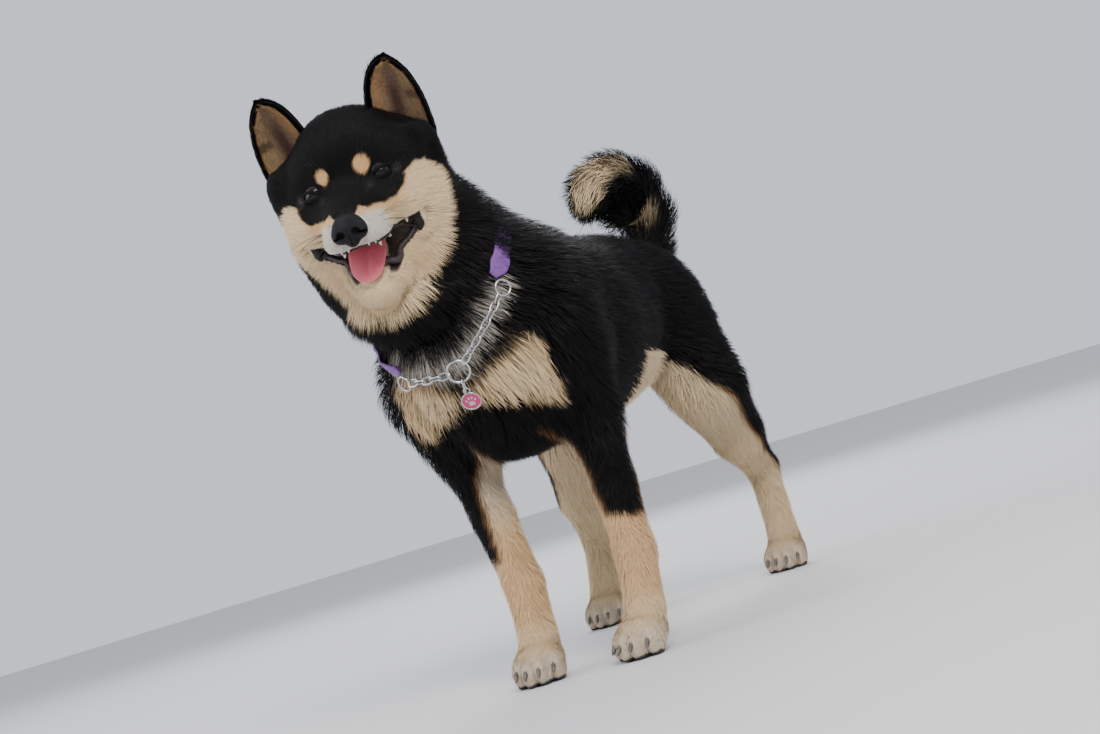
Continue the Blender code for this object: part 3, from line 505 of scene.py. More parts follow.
# ---------------------------------------------------------------- markings
BLACK = V(0.0052, 0.0046, 0.0047)
TAN = V(0.660, 0.410, 0.205)
RUST = V(0.430, 0.225, 0.100)
CREAM = V(0.775, 0.610, 0.380)
GREY = V(0.500, 0.460, 0.405)
WHITE = V(0.720, 0.680, 0.640)
LIPS = V(0.016, 0.011, 0.013)
MOUTH = V(0.0280, 0.0088, 0.0108)

CHAIN_RUN = ((0.0348, -0.2041, 0.3209), (0.0251, -0.2144, 0.3052), (0.0150, -0.2203, 0.2914), (-0.0143, -0.2261, 0.2666),
             (-0.0380, -0.2290, 0.2690), (-0.0608, -0.2251, 0.2722), (-0.0746, -0.2211, 0.2823))


def axis_at(a, b, z):
    """where the line from a to b is at height z"""
    t = np.clip((a[2] - z) / (a[2] - b[2]), 0, 1)
    return a[0] + (b[0] - a[0]) * t, a[1] + (b[1] - a[1]) * t


def soft_min(a, b, k=0.004):
    return blend(a, b, k)


def inside(d, w=0.0012):
    """1 where the signed distance d is positive"""
    return ss(-w, w, d)


def face_patch(q):
    """how far inside the pale mask of muzzle, cheeks, jaw and ruff a point of the head is"""
    x, y, z = np.abs(q[..., 0]), q[..., 1], q[..., 2]
    top = np.interp(x, (0, 0.0085, 0.0115, 0.0195, 0.038, 0.0465, 0.0490, 0.0560, 0.065, 0.0715, 0.0760, 0.082),
                    (-0.046, -0.040, -0.0190, -0.0215, -0.0205, -0.0110, -0.0010, 0.0030, 0.001, -0.0060, -0.0180, -0.040)) - z
    e = 1 - np.sqrt((x / 0.076) ** 2 + ((z + 0.020) / 0.101) ** 2)
    low = e * 0.07
    back = np.interp(z, (-0.120, -0.100, -0.078, -0.043, -0.018, 0.0), (-0.022, -0.010, 0.0025, 0.0173, 0.030, 0.030)) + 0.006 - y
    return soft_min(soft_min(top, low, 0.003), back, 0.003)


def chest_patch(p):
    xc = -0.024
    u = np.abs(p[..., 0] - xc)
    z = p[..., 2]
    top = (0.238 + 0.56 * u - z) * 0.87
    bot = (z - (0.235 - 0.32 * u)) * 0.95
    out = 0.074 - u
    front = -0.128 - p[..., 1]
    return soft_min(soft_min(soft_min(top, bot, 0.006), out, 0.02), front, 0.01)


def near_chain(p):
    """signed distance under the chain's run, positive in the pale strip of fur below it"""
    best = np.full(len(p), 1e9)
    dn = np.zeros(len(p))
    for a, b in zip(CHAIN_RUN, CHAIN_RUN[1:]):
        a, b = V(*a), V(*b)
        t = np.clip(((p - a) @ (b - a)) / ((b - a) @ (b - a)), 0, 1)
        r = p - (a + t[:, None] * (b - a))
        d = np.linalg.norm(r, axis=-1)
        m = d < best
        best[m] = d[m]
        dn[m] = (r @ (-NC))[m]
    return np.minimum(0.015 - best, dn + 0.001)


def leg_patch(p):
    """pale parts of the four legs, positive inside"""
    x, y, z = p[..., 0], p[..., 1], p[..., 2]
    out = np.full(len(p), -1.0)
    for name, L in LEGS.items():
        side = 1 if name.endswith("left") else -1
        if name.startswith("front"):
            near = (y < -0.09) & (z < 0.215) & (side * (x + 0.010) > 0)
            ax, ay = axis_at(L["el"], L["ca"], z)
            dx, dy = side * (x - ax), y - ay
            if side > 0:
                off = np.interp(z, (0.104, 0.115, 0.180, 0.200), (0.030, -0.0120, -0.0240, -0.040))
                d = np.maximum(off - dx, np.minimum(dy - np.interp(z, (0.11, 0.18), (0.007, 0.017)), 0.185 - z))
            else:
                off = np.interp(z, (0.084, 0.0957, 0.170, 0.200), (0.030, 0.0055, -0.0085, -0.034))
                d = off - dx
            d = np.maximum(d, 0.096 + 0.35 * (-dy) - z)
            d = np.minimum(d, np.where(z > 0.15, dx + 0.030, 1.0))
        else:
            near = (y > 0.02) & (z < 0.25) & (side * (x + 0.018) > 0)
            st, ho, hi = L["st"], L["ho"], L["hi"]
            ax, ay = axis_at(st, ho, z)
            ux, uy = axis_at(hi, st, z)
            ax, ay = np.where(z > st[2], ux, ax), np.where(z > st[2], uy, ay)
            dx, dy = side * (x - ax), y - ay
            d = -0.55 * dx - 0.80 * dy - np.interp(z, (0.05, 0.10, 0.13, 0.20, 0.235, 0.25), (-0.05, -0.008, 0.011, 0.022, 0.035, 0.05))
        out = np.where(near, np.maximum(out, d), out)
    return out


def tail_patch(p):
    """the pale band of the tail, on the side that the curl turns up and to the dog's right"""
    best = np.full(len(p), 1e9)
    along = np.zeros(len(p))
    off = np.zeros_like(p)
    for i, (a, b) in enumerate(zip(TAIL_PATH, TAIL_PATH[1:])):
        a, b = V(*a), V(*b)
        t = np.clip(((p - a) @ (b - a)) / ((b - a) @ (b - a)), 0, 1)
        r = p - (a + t[:, None] * (b - a))
        d = np.linalg.norm(r, axis=-1)
        m = d < best
        best[m], along[m], off[m] = d[m], (i + t)[m], r[m]
    n = off / (np.linalg.norm(off, axis=-1)[:, None] + 1e-9)
    return n, along


def markings(p, q, jitter=None, n=None):
    """the coat's colour at each point"""
    count = len(p)
    if jitter is None:
        jitter = np.zeros(count)
    nz = 0.0016 * noise(p, 0.007, 3) + 0.0010 * noise(p, 0.0028, 5)
    s = (p - C0) @ NC
    head = ss(0.006, 0.020, s)
    hx, hy, hz = np.abs(q[..., 0]), q[..., 1], q[..., 2]
    col = np.repeat(BLACK[None], count, 0)
    brown = ss(0.2, 1.0, noise(p, 0.035, 9)) * 0.35
    col = mix(col, V(0.0120, 0.0080, 0.0060), brown)

    # legs: pale insides, tan above the feet, whitish toes
    pale = mix(CREAM, (TAN * 0.72 + CREAM * 0.28) * 1.03, ss(0.15, 0.10, p[..., 2]) * ss(0.028, 0.055, p[..., 2]) * (p[..., 1] < 0)[...])
    pale = mix(pale, GREY * 1.25, ss(0.12, 0.17, p[..., 2]) * 0.55)
    hind = (p[..., 1] > 0)
    pale = mix(pale, CREAM * 0.9, hind * 0.8)
    pale = mix(pale, (WHITE * 0.5 + CREAM * 0.45), ss(0.030, 0.014, p[..., 2]) * 0.85)
    d = leg_patch(p) + nz * 1.4 + jitter
    col = mix(col, pale, inside(d, 0.0022) * (1 - head))
    col = mix(col, RUST * 0.75, inside(0.0045 - np.abs(d), 0.003) * 0.45 * (1 - head) * (p[..., 2] < 0.20))

    # groin
    g = 0.030 - np.linalg.norm((p - V(0.006, 0.062, 0.236)) / V(1.5, 0.8, 0.8), axis=-1)
    col = mix(col, CREAM * 0.85, inside(g + nz * 2 + jitter, 0.004) * (1 - head))
    # below the tail
    g = 0.034 - np.linalg.norm((p - V(0.004, 0.248, 0.268)) / V(0.75, 1.2, 1.6), axis=-1)
    col = mix(col, CREAM * 0.85, inside(g + nz * 2 + jitter, 0.004))

    # chest and the strip under the chain
    d = chest_patch(p) + nz * 1.6 + jitter
    c = mix(CREAM * 0.98, TAN * 1.05, ss(0.012, 0.002, d) * 0.35)
    col = mix(col, c, inside(d, 0.0020) * (1 - head))
    d = near_chain(p) + nz * 1.5 + jitter
    col = mix(col, GREY * 0.95, inside(d, 0.0022) * 0.90 * (1 - head))

    # tail
    tn, along = tail_patch(p)
    on_tail = ss(0.004, -0.004, f_tail(p) - 0.002) * (p[..., 1] > 0.12)
    up = tn @ (V(0.08, -0.97, 0.20) / np.linalg.norm((0.08, 0.97, 0.20)))
    band = (up - 0.60) * 0.030
    col = mix(col, CREAM * 0.85, inside(band + nz * 1.2 + jitter, 0.003) * on_tail * ss(2.0, 2.8, along))

    # the face
    d = face_patch(q) + nz * 0.9 + jitter * 0.7
    x = hx
    c = mix(CREAM * 1.02, TAN * 1.05, ss(0.011, 0.001, d) * 0.80 * ss(0.056, 0.046, x) * (hz > -0.05))
    c = mix(c, TAN * 1.12, ss(0.052, 0.034, x) * ss(-0.036, -0.020, hz) * 0.75 * ss(0.010, -0.01, hy))
    c = mix(c, CREAM * 1.06, ss(0.030, 0.050, x) * ss(-0.040, -0.030, hz) * ss(-0.010, -0.020, hz) * 0.5)
    c = mix(c, WHITE * 0.96, ss(-0.030, -0.044, hy) * ss(-0.022, -0.029, hz) * ss(-0.072, -0.060, hz) * 0.9)
    c = mix(c, GREY * 1.1, ss(0.014, 0.009, x) * ss(-0.052, -0.058, hy) * 0.5)
    c = mix(c, TAN * 1.05, ss(0.022, 0.040, x) * ss(0.060, 0.030, x) * ss(-0.052, -0.066, hz) * ss(-0.098, -0.080, hz) * 0.45)
    col = mix(col, c, inside(d, 0.0013) * head)
    for side, cx, r in ((1, 0.0180, 0.0064), (-1, -0.0176, 0.0056)):
        e = r * (1 - np.sqrt(((q[..., 0] - cx) / r) ** 2 + ((hz - 0.0150) / (r * 1.12)) ** 2))
        col = mix(col, TAN * 1.12, inside(e + nz * 0.35 + jitter * 0.5, 0.0010) * (hy < 0.02) * head)
    e = 0.0042 - np.sqrt((hx - 0.0425) ** 2 + ((hz - 0.0015) * 1.0) ** 2 + ((hy + 0.004) * 0.5) ** 2)
    col = mix(col, GREY * 0.6, inside(e - 0.0010 + nz * 1.2 + jitter * 2.5, 0.0022) * 0.24 * head)
    e = 0.0028 - np.sqrt((hx - 0.0205) ** 2 + (hz + 0.0045) ** 2)
    col = mix(col, GREY * 0.5, inside(e - 0.0008 + nz + jitter * 2.5, 0.0018) * 0.10 * head * (hy < 0))
    rim = (np.abs(q[..., 0]) < 0.048) & (q[..., 1] < 0.006) & (np.abs(q[..., 0]) > 0.012)
    col = mix(col, LIPS, inside(0.0008 - wide_gape(q), 0.0006) * head * rim)
    return col


# ---------------------------------------------------------------- mesh and material helpers
def to_mesh(name, verts, loops, sizes, smooth=True, colour=None):
    """a mesh from flat arrays: vertices, corner indices and corners per face"""
    me = bpy.data.meshes.new(name)
    v = np.asarray(verts, np.float64) + V(SHIFT[0], SHIFT[1], 0)
    me.vertices.add(len(v))
    me.vertices.foreach_set("co", v.ravel())
    loops = np.asarray(loops, np.int32).ravel()
    sizes = np.asarray(sizes, np.int32)
    me.loops.add(len(loops))
    me.loops.foreach_set("vertex_index", loops)
    me.polygons.add(len(sizes))
    starts = np.concatenate([[0], np.cumsum(sizes)[:-1]]).astype(np.int32)
    me.polygons.foreach_set("loop_start", starts)
    me.update(calc_edges=True)
    me.polygons.foreach_set("use_smooth", np.full(len(sizes), smooth, bool))
    if colour is not None:
        a = me.color_attributes.new("Col", "FLOAT_COLOR", "POINT")
        a.data.foreach_set("color", np.concatenate([colour, np.ones((len(colour), 1))], 1).ravel())
    me.update()
    ob = bpy.data.objects.new(name, me)
    bpy.context.scene.collection.objects.link(ob)
    return ob


def quads_mesh(name, verts, quads, colour=None, smooth=True):
    quads = np.asarray(quads)
    return to_mesh(name, verts, quads, np.full(len(quads), quads.shape[1]), smooth, colour)


def joined(parts_list):
    """several (verts, faces of one size) lists as one"""
    vs, fs, n = [], [], 0
    for v, f in parts_list:
        vs.append(v)
        fs.append(np.asarray(f) + n)
        n += len(v)
    return np.concatenate(vs), np.concatenate(fs)


def grid_faces(nu, nv, wrap_u=False, wrap_v=False, flip=False):
    out = []
    for i in range(nu if wrap_u else nu - 1):
        for j in range(nv if wrap_v else nv - 1):
            a, b = i * nv + j, ((i + 1) % nu) * nv + j
            c, d = ((i + 1) % nu) * nv + (j + 1) % nv, i * nv + (j + 1) % nv
            out.append((a, b, c, d) if not flip else (d, c, b, a))
    return np.array(out)


def tube(path, radius, sides=12, flat=1.0, up=None, closed=False, ends=True):
    """a tube along a path of points; radius may change along it; flat squashes it along up"""
    P = np.asarray(path, float)
    n = len(P)
    r = np.broadcast_to(np.asarray(radius, float), (n,))
    if closed:
        T = np.roll(P, -1, 0) - np.roll(P, 1, 0)
    else:
        T = np.gradient(P, axis=0)
    T /= np.linalg.norm(T, axis=1)[:, None] + 1e-12
    if up is None:
        up = V(0.13, 0.21, 1.0)
    U = np.broadcast_to(np.asarray(up, float), P.shape).copy()
    U = U - T * (U * T).sum(1)[:, None]
    U /= np.linalg.norm(U, axis=1)[:, None] + 1e-12
    W = np.cross(T, U)
    a = 2 * np.pi * np.arange(sides) / sides
    ring = (W[:, None] * np.cos(a)[None, :, None] + U[:, None] * (np.sin(a) * flat)[None, :, None])
    v = P[:, None] + ring * r[:, None, None]
    v = v.reshape(-1, 3)
    f = grid_faces(n, sides, wrap_u=closed, wrap_v=True)
    if not closed and ends:
        c = len(v)
        v = np.concatenate([v, P[:1] - T[:1] * r[0] * 0.5, P[-1:] + T[-1:] * r[-1] * 0.5])
        e0 = [(c, (j + 1) % sides, j, c) for j in range(sides)]
        e1 = [(c + 1, (n - 1) * sides + j, (n - 1) * sides + (j + 1) % sides, c + 1) for j in range(sides)]
        f = np.concatenate([f, np.array(e0), np.array(e1)])
    return v, f


def faces_clean(quads):
    """quads with a doubled corner as triangles: flat corner list and sizes"""
    loops, sizes = [], []
    for q in quads:
        c = []
        for i in q:
            if i not in c:
                c.append(int(i))
        loops.extend(c)
        sizes.append(len(c))
    return loops, sizes


def piece(name, verts, quads, nodes=(), mat=None, colour=None, smooth=True):
    loops, sizes = faces_clean(quads)
    ob = to_mesh(name, verts, loops, sizes, smooth, colour)
    if mat:
        ob.data.materials.append(mat)
    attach(ob, "root")
    if nodes:
        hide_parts(*nodes)
    return ob


def material(name, colour=None, rough=0.5, metal=0.0, attr=False, spec=0.5, noise_scale=0.0, noise_amount=0.0, second=None,
             bump=0.0, bump_scale=400.0, coat=0.0, rough_var=0.0, voronoi=False, sss=0.0):
    m = bpy.data.materials.new(name)
    m.use_nodes = True
    nt = m.node_tree
    b = nt.nodes["Principled BSDF"]
    b.inputs["Roughness"].default_value = rough
    b.inputs["Metallic"].default_value = metal
    b.inputs["Specular IOR Level"].default_value = spec
    b.inputs["Coat Weight"].default_value = coat
    b.inputs["Coat Roughness"].default_value = 0.08
    if sss:
        b.inputs["Subsurface Weight"].default_value = sss
        b.inputs["Subsurface Scale"].default_value = 0.004
    co = nt.nodes.new("ShaderNodeTexCoord")
    if attr:
        a = nt.nodes.new("ShaderNodeAttribute")
        a.attribute_name = "Col"
        base = a.outputs["Color"]
    else:
        c = nt.nodes.new("ShaderNodeRGB")
        c.outputs[0].default_value = (*colour, 1.0)
        base = c.outputs[0]
    if noise_amount:
        t = nt.nodes.new("ShaderNodeTexNoise")
        t.inputs["Scale"].default_value = noise_scale
        t.inputs["Detail"].default_value = 4.0
        nt.links.new(co.outputs["Object"], t.inputs["Vector"])
        mixn = nt.nodes.new("ShaderNodeMix")
        mixn.data_type = "RGBA"
        mixn.blend_type = "MULTIPLY" if second is None else "MIX"
        ramp = nt.nodes.new("ShaderNodeMapRange")
        ramp.inputs["From Min"].default_value = 0.35
        ramp.inputs["From Max"].default_value = 0.65
        ramp.inputs["To Min"].default_value = 0.0
        ramp.inputs["To Max"].default_value = noise_amount
        nt.links.new(t.outputs["Fac"], ramp.inputs["Value"])
        nt.links.new(ramp.outputs[0], mixn.inputs["Factor"])
        nt.links.new(base, mixn.inputs["A"])
        mixn.inputs["B"].default_value = (*(second or (0.35, 0.33, 0.32)), 1.0)
        base = mixn.outputs["Result"]
    nt.links.new(base, b.inputs["Base Color"])
    if rough_var:
        t = nt.nodes.new("ShaderNodeTexNoise")
        t.inputs["Scale"].default_value = noise_scale or 300.0
        nt.links.new(co.outputs["Object"], t.inputs["Vector"])
        r = nt.nodes.new("ShaderNodeMapRange")
        r.inputs["To Min"].default_value = rough - rough_var
        r.inputs["To Max"].default_value = rough + rough_var
        nt.links.new(t.outputs["Fac"], r.inputs["Value"])
        nt.links.new(r.outputs[0], b.inputs["Roughness"])
    if bump:
        if voronoi:
            t = nt.nodes.new("ShaderNodeTexVoronoi")
            out = t.outputs["Distance"]
        else:
            t = nt.nodes.new("ShaderNodeTexNoise")
            t.inputs["Detail"].default_value = 5.0
            out = t.outputs["Fac"]
        t.inputs["Scale"].default_value = bump_scale
        nt.links.new(co.outputs["Object"], t.inputs["Vector"])
        k = nt.nodes.new("ShaderNodeBump")
        k.inputs["Strength"].default_value = bump
        k.inputs["Distance"].default_value = 0.001
        nt.links.new(out, k.inputs["Height"])
        nt.links.new(k.outputs[0], b.inputs["Normal"])
    return m


M_SKIN = material("skin", attr=True, rough=0.75, spec=0.25, noise_scale=700, noise_amount=0.35, bump=0.5, bump_scale=1400)
M_FUR = material("coat_hair", attr=True, rough=0.55, spec=0.10, noise_scale=900, noise_amount=0.22)
M_LEATHER = material("nose_leather", (0.0040, 0.0040, 0.0046), 0.42, spec=0.20, noise_scale=500, noise_amount=0.3, bump=0.55, bump_scale=1500, voronoi=True)
M_EYE = material("eye", attr=True, rough=0.09, spec=0.22, noise_scale=1500, noise_amount=0.25, coat=0.08)
M_LID = material("lid_rim", (0.0035, 0.0030, 0.0032), 0.60, spec=0.10, noise_scale=900, noise_amount=0.4, bump=0.3, bump_scale=1800)
M_LIP = material("lip", (0.020, 0.013, 0.016), 0.33, spec=0.5, noise_scale=380, noise_amount=0.55, second=(0.055, 0.026, 0.034), bump=0.55, bump_scale=900, voronoi=True)
M_TONGUE = material("tongue", (0.660, 0.135, 0.170), 0.36, spec=0.5, noise_scale=260, noise_amount=0.35, second=(0.520, 0.085, 0.125), bump=0.35, bump_scale=2200, voronoi=True, sss=0.15)
M_TOOTH = material("tooth", (0.740, 0.690, 0.570), 0.25, noise_scale=300, noise_amount=0.4, second=(0.60, 0.50, 0.33))
M_CLAW = material("claw", (0.060, 0.050, 0.045), 0.35, noise_scale=300, noise_amount=0.6, second=(0.17, 0.14, 0.12), bump=0.2, bump_scale=900)
M_PAD = material("pad", (0.022, 0.020, 0.020), 0.7, noise_scale=500, noise_amount=0.5, bump=0.8, bump_scale=900, voronoi=True)
M_STEEL = material("collar_steel", (0.52, 0.52, 0.53), 0.24, metal=1.0, noise_scale=200, noise_amount=0.2, rough_var=0.07)
M_ENAMEL = material("tag_enamel", (0.520, 0.030, 0.140), 0.30, spec=0.3, noise_scale=900, noise_amount=0.35, second=(0.62, 0.07, 0.22), coat=0.2, bump=0.1, bump_scale=600)
M_WEB = material("webbing", (0.150, 0.040, 0.240), 0.55, noise_scale=1300, noise_amount=0.45, second=(0.34, 0.15, 0.50), bump=0.8, bump_scale=1700, spec=0.6)
M_WHISKER = material("whisker", (0.010, 0.009, 0.009), 0.4, noise_scale=200, noise_amount=0.3)
M_WETMOUTH = material("mouth", attr=True, rough=0.35, noise_scale=300, noise_amount=0.4, bump=0.3, bump_scale=600)

# ---------------------------------------------------------------- skin
H_BODY, H_HEAD = ((0.0024, 0.0014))
LO, HI = V(-0.17, -0.36, -0.02), V(0.13, 0.34, 0.56)
OVERLAP = 0.004


def skin_patch(lo, hi, h, keep):
    v, q = surface_nets(f_skin, lo, hi, h)
    q = q[keep(v)[q].all(1)]
    used = np.unique(q)
    back = np.full(len(v), -1)
    back[used] = np.arange(len(used))
    return project_to(f_skin, v[used]), back[q]


def neck_side(v):
    return (v - C0) @ NC


v1, q1 = skin_patch(LO, HI, H_BODY, lambda v: neck_side(v) < OVERLAP + 0.010)
v2, q2 = skin_patch(V(-0.15, -0.345, 0.26), V(0.075, -0.10, 0.50), H_HEAD, lambda v: neck_side(v) > -OVERLAP + 0.010)
sv = np.concatenate([v1, v2])
sq = np.concatenate([q1, q2 + len(v1)])
sv[:, 2] = np.maximum(sv[:, 2], 0.0007)
sh = to_head(sv)
skin_col = markings(sv, sh)
skin_col = np.where((skin_col.max(1) > 0.1)[:, None], skin_col * V(0.62, 0.55, 0.48), skin_col * 0.75)
fm = f_gape(sh)
wet = inside(0.0010 - fm, 0.0008) * (sh[:, 1] < 0.01)
skin_col = mix(skin_col, MOUTH * 0.55, wet)
in_ear = f_ellipsoid(np.stack([np.abs(sh[:, 0]), sh[:, 1], sh[:, 2]], -1), *EAR_BOWL)
skin_col = mix(skin_col, V(0.10, 0.055, 0.035), inside(0.0008 - in_ear, 0.001) * (sh[:, 2] > 0.03))
skin = to_mesh("skin", sv, sq, np.full(len(sq), 4), True, skin_col)
skin.data.materials.append(M_SKIN)
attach(skin, "root")
FLESH = ["head", "lower_jaw", "neck", "chest", "loin", "tail_base", "tail_curl"]
FLESH += ["front_%s_%s" % (s, n) for s in ("left", "right") for n in ("upper_arm", "forearm", "paw")]
FLESH += ["hind_%s_%s" % (s, n) for s in ("left", "right") for n in ("thigh", "shank", "paw")]
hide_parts(*FLESH)

# normals, areas and centres of the skin's faces
fa = sv[sq]
e1, e2 = fa[:, 2] - fa[:, 0], fa[:, 3] - fa[:, 1]
fn = np.cross(e1, e2)
farea = np.linalg.norm(fn, axis=1) / 2
fn /= 2 * farea[:, None] + 1e-15
vn = np.zeros_like(sv)
for k in range(4):
    np.add.at(vn, sq[:, k], fn * farea[:, None])
vn /= np.linalg.norm(vn, axis=1)[:, None] + 1e-12

# ---------------------------------------------------------------- the edges of the lips
def jaw_edge(slope, drop, angles, inset):
    """the line where a lip's plane meets the outline, seen from inside the mouth"""
    o = V(0, -0.004, 0)
    fw = V(0, -1, -slope) / np.hypot(1, slope)
    d = np.cos(angles)[:, None] * fw + np.sin(angles)[:, None] * V(1, 0, 0)
    o = V(0, o[1], MOUTH_APEX[2] - slope * (MOUTH_APEX[1] - o[1]) + drop)
    t = np.linspace(0.006, 0.085, 260)
    pts = o + d[:, None] * t[None, :, None]
    f = masses_field(from_head(pts.reshape(-1, 3)), pts.reshape(-1, 3), BODY).reshape(len(angles), -1) + inset
    i = np.maximum((f > 0).argmax(1), 1)
    r = t[i]
    p = o + d * r[:, None]
    over = np.abs(p[:, 0]) > MOUTH_HALF
    p[over] = (o + d * (MOUTH_HALF / np.abs(d[:, 0] + 1e-9))[:, None])[over]
    return p


lip_ang = np.radians(np.linspace(-96, 96, 97))
lip_low = jaw_edge(MOUTH_DOWN, -0.0012, lip_ang, 0.0030)
for _ in range(3):
    fy = MOUTH_APEX[1] - lip_low[:, 1]
    sag = 0.0125 * np.exp(-((fy - 0.022) / 0.018) ** 2) * ss(0.0, 0.008, fy) * (0.15 + 0.85 * ss(0.006, 0.019, np.abs(lip_low[:, 0])))
    lip_low[:, 2] = MOUTH_APEX[2] - MOUTH_DOWN * fy - sag - 0.0006
    inward = np.stack([lip_low[:, 0], lip_low[:, 1] + 0.004, 0 * fy], 1)
    inward /= np.linalg.norm(inward, axis=1)[:, None] + 1e-9
    off = masses_field(from_head(lip_low), lip_low, BODY) + 0.0030 - 0.0034 * np.cos(lip_ang).clip(0, 1) ** 2
    lip_low = lip_low - inward * np.clip(off, -0.004, 0.004)[:, None]
lip_low[:, 0] = np.clip(lip_low[:, 0], -MOUTH_HALF, MOUTH_HALF)
lip_up = jaw_edge(MOUTH_UP, -0.0016, lip_ang, 0.0026)
sm = np.ones(9) / 9
for arr in (lip_low, lip_up):
    for k in range(3):
        arr[:, k] = np.convolve(np.pad(arr[:, k], 4, mode="edge"), sm, "valid")
front_w = np.exp(-(lip_low[:, 0] / 0.013) ** 2)
lip_low[:, 2] -= 0.0028 * front_w
lip_low[:, 1] -= 0.0008 * front_w

# ---------------------------------------------------------------- coat
NOSE_Q = V(0, -0.078, -0.030)


def tail_run(p):
    best = np.full(len(p), 1e9)
    d = np.zeros_like(p)
    for a, b in zip(TAIL_PATH, TAIL_PATH[1:]):
        a, b = V(*a), V(*b)
        t = np.clip(((p - a) @ (b - a)) / ((b - a) @ (b - a)), 0, 1)
        r = np.linalg.norm(p - (a + t[:, None] * (b - a)), axis=-1)
        m = r < best
        best[m] = r[m]
        d[m] = (b - a) / np.linalg.norm(b - a)
    return d


def lie_of(p, q, n):
    """the way the hair runs at each point of the skin"""
    z, y = p[:, 2], p[:, 1]
    s = neck_side(p)
    one = np.ones(len(p))
    side = np.sign(p[:, 0] + 0.012)
    T = np.stack([0.05 * side, one, -0.34 * one], 1)
    front = ss(0.15, 0.65, -n[:, 1]) * (y < -0.10)
    T = mix(T, np.stack([0.25 * side, 0.15 * one, -one], 1), front)
    T = mix(T, np.repeat((-NC)[None], len(p), 0) + V(0, 0.15, 0), ss(-0.085, -0.020, s))
    leg = 1 - ss(0.16, 0.26, z)
    down = np.stack([0 * one, np.where(y > 0, 0.42, 0.16), -one], 1)
    down = mix(down, np.stack([0 * one, 0.10 * one, -one], 1), 1 - ss(0.08, 0.13, z))
    T = mix(T, down, leg)
    rump = ss(0.17, 0.24, y) * ss(0.15, 0.20, z)
    T = mix(T, V(0, 0.25, -1.0), rump * 0.8)
    T = mix(T, V(0.0, -0.80, -0.55), (1 - ss(0.028, 0.046, z)) * ss(0.3, -0.2, -n[:, 2]) * 1.0)
    radial = (q - NOSE_Q)
    radial = radial / (np.linalg.norm(radial, axis=1)[:, None] + 1e-9)
    radial = radial + V(0, 0.25, 0)
    hs = np.sign(q[:, 0])
    jowl = ss(-0.045, -0.085, q[:, 2])
    radial = mix(radial, np.stack([0.30 * hs * ss(0, 0.02, np.abs(q[:, 0])), 0.30 * one, -one], 1), jowl)
    T = mix(T, radial @ HEAD_R.T, ss(0.020, 0.060, s))
    T = mix(T, tail_run(p), ss(0.004, -0.004, f_tail(p) - 0.004))
    return T


def scatter(count_per_face):
    k = np.floor(count_per_face + rng.random(len(count_per_face))).astype(int)
    f = np.repeat(np.arange(len(sq)), k)
    a, b = rng.random(len(f)), rng.random(len(f))
    w = np.stack([(1 - a) * (1 - b), a * (1 - b), a * b, (1 - a) * b], 1)
    p = (sv[sq[f]] * w[..., None]).sum(1)
    n = (vn[sq[f]] * w[..., None]).sum(1)
    return p, n / (np.linalg.norm(n, axis=1)[:, None] + 1e-12)


def zone(p, q):
    """the coat's depth at each point, and a weight that is 1 on the head and 0 on the body"""
    s = neck_side(p)
    head = ss(0.015, 0.05, s)
    dep = leg_depth(p, q)
    return dep, head


TOTAL = 310000 * 1.0
cen = fa.mean(1)
cq = to_head(cen)
dep, headw = zone(cen, cq)
dens = 1 / (0.35 + dep / 0.0045) ** 1.15
dens = dens * (1 + 1.9 * headw * ss(0.075, 0.045, cq[:, 1]))
dens = dens * np.where(cen[:, 2] < 0.002, 0.0, 1.0)
cm = np.abs(cq) * V(1, 0, 0) + cq * V(0, 1, 1)
dens = dens * (1 - inside(0.0016 - f_gape(cq), 0.0006) * (cq[:, 1] < 0.012))
dens = dens * (1 - inside(0.0011 - f_eyehole(cq), 0.0005))
dens = dens * (1 - inside(0.0006 - f_ellipsoid(cq, V(*NOSE_AT), V(*NOSE_SIZE), euler(0, 14, 0)), 0.0004))
dens = dens * (1 - inside(0.0012 - f_ellipsoid(cm, *EAR_BOWL), 0.001) * (cq[:, 2] > 0.03))
gap = np.full(len(cen), 1.0)
near_lip = np.where((cq[:, 1] < 0.01) & (cq[:, 2] < -0.02) & (cq[:, 2] > -0.10) & (headw > 0.5))[0]
gap[near_lip] = np.linalg.norm(cq[near_lip, None] - lip_low[None, ::2], axis=-1).min(1)
dens = dens * (1 - inside(0.0036 - gap, 0.0005))
# the surface just behind the overlap of the two patches is left to one of them
patch = np.arange(len(sq)) >= len(q1)
ns = neck_side(cen)
dens = dens * np.where(patch, ns > 0.010, ns <= 0.010)
w = dens * farea
P, N = scatter(w / w.sum() * TOTAL)
Q = to_head(P)
D, HW = zone(P, Q)
count = len(P)

T = lie_of(P, Q, N)
T = T + 0.16 * np.stack([noise(P, 0.020, 20 + k) for k in range(3)], 1) * np.linalg.norm(T, axis=1)[:, None]
T = T + (0.16 + 0.04 * HW)[:, None] * rng.normal(size=(count, 3)) * 0.8
T = T - N * (T * N).sum(1)[:, None]
T /= np.linalg.norm(T, axis=1)[:, None] + 1e-9

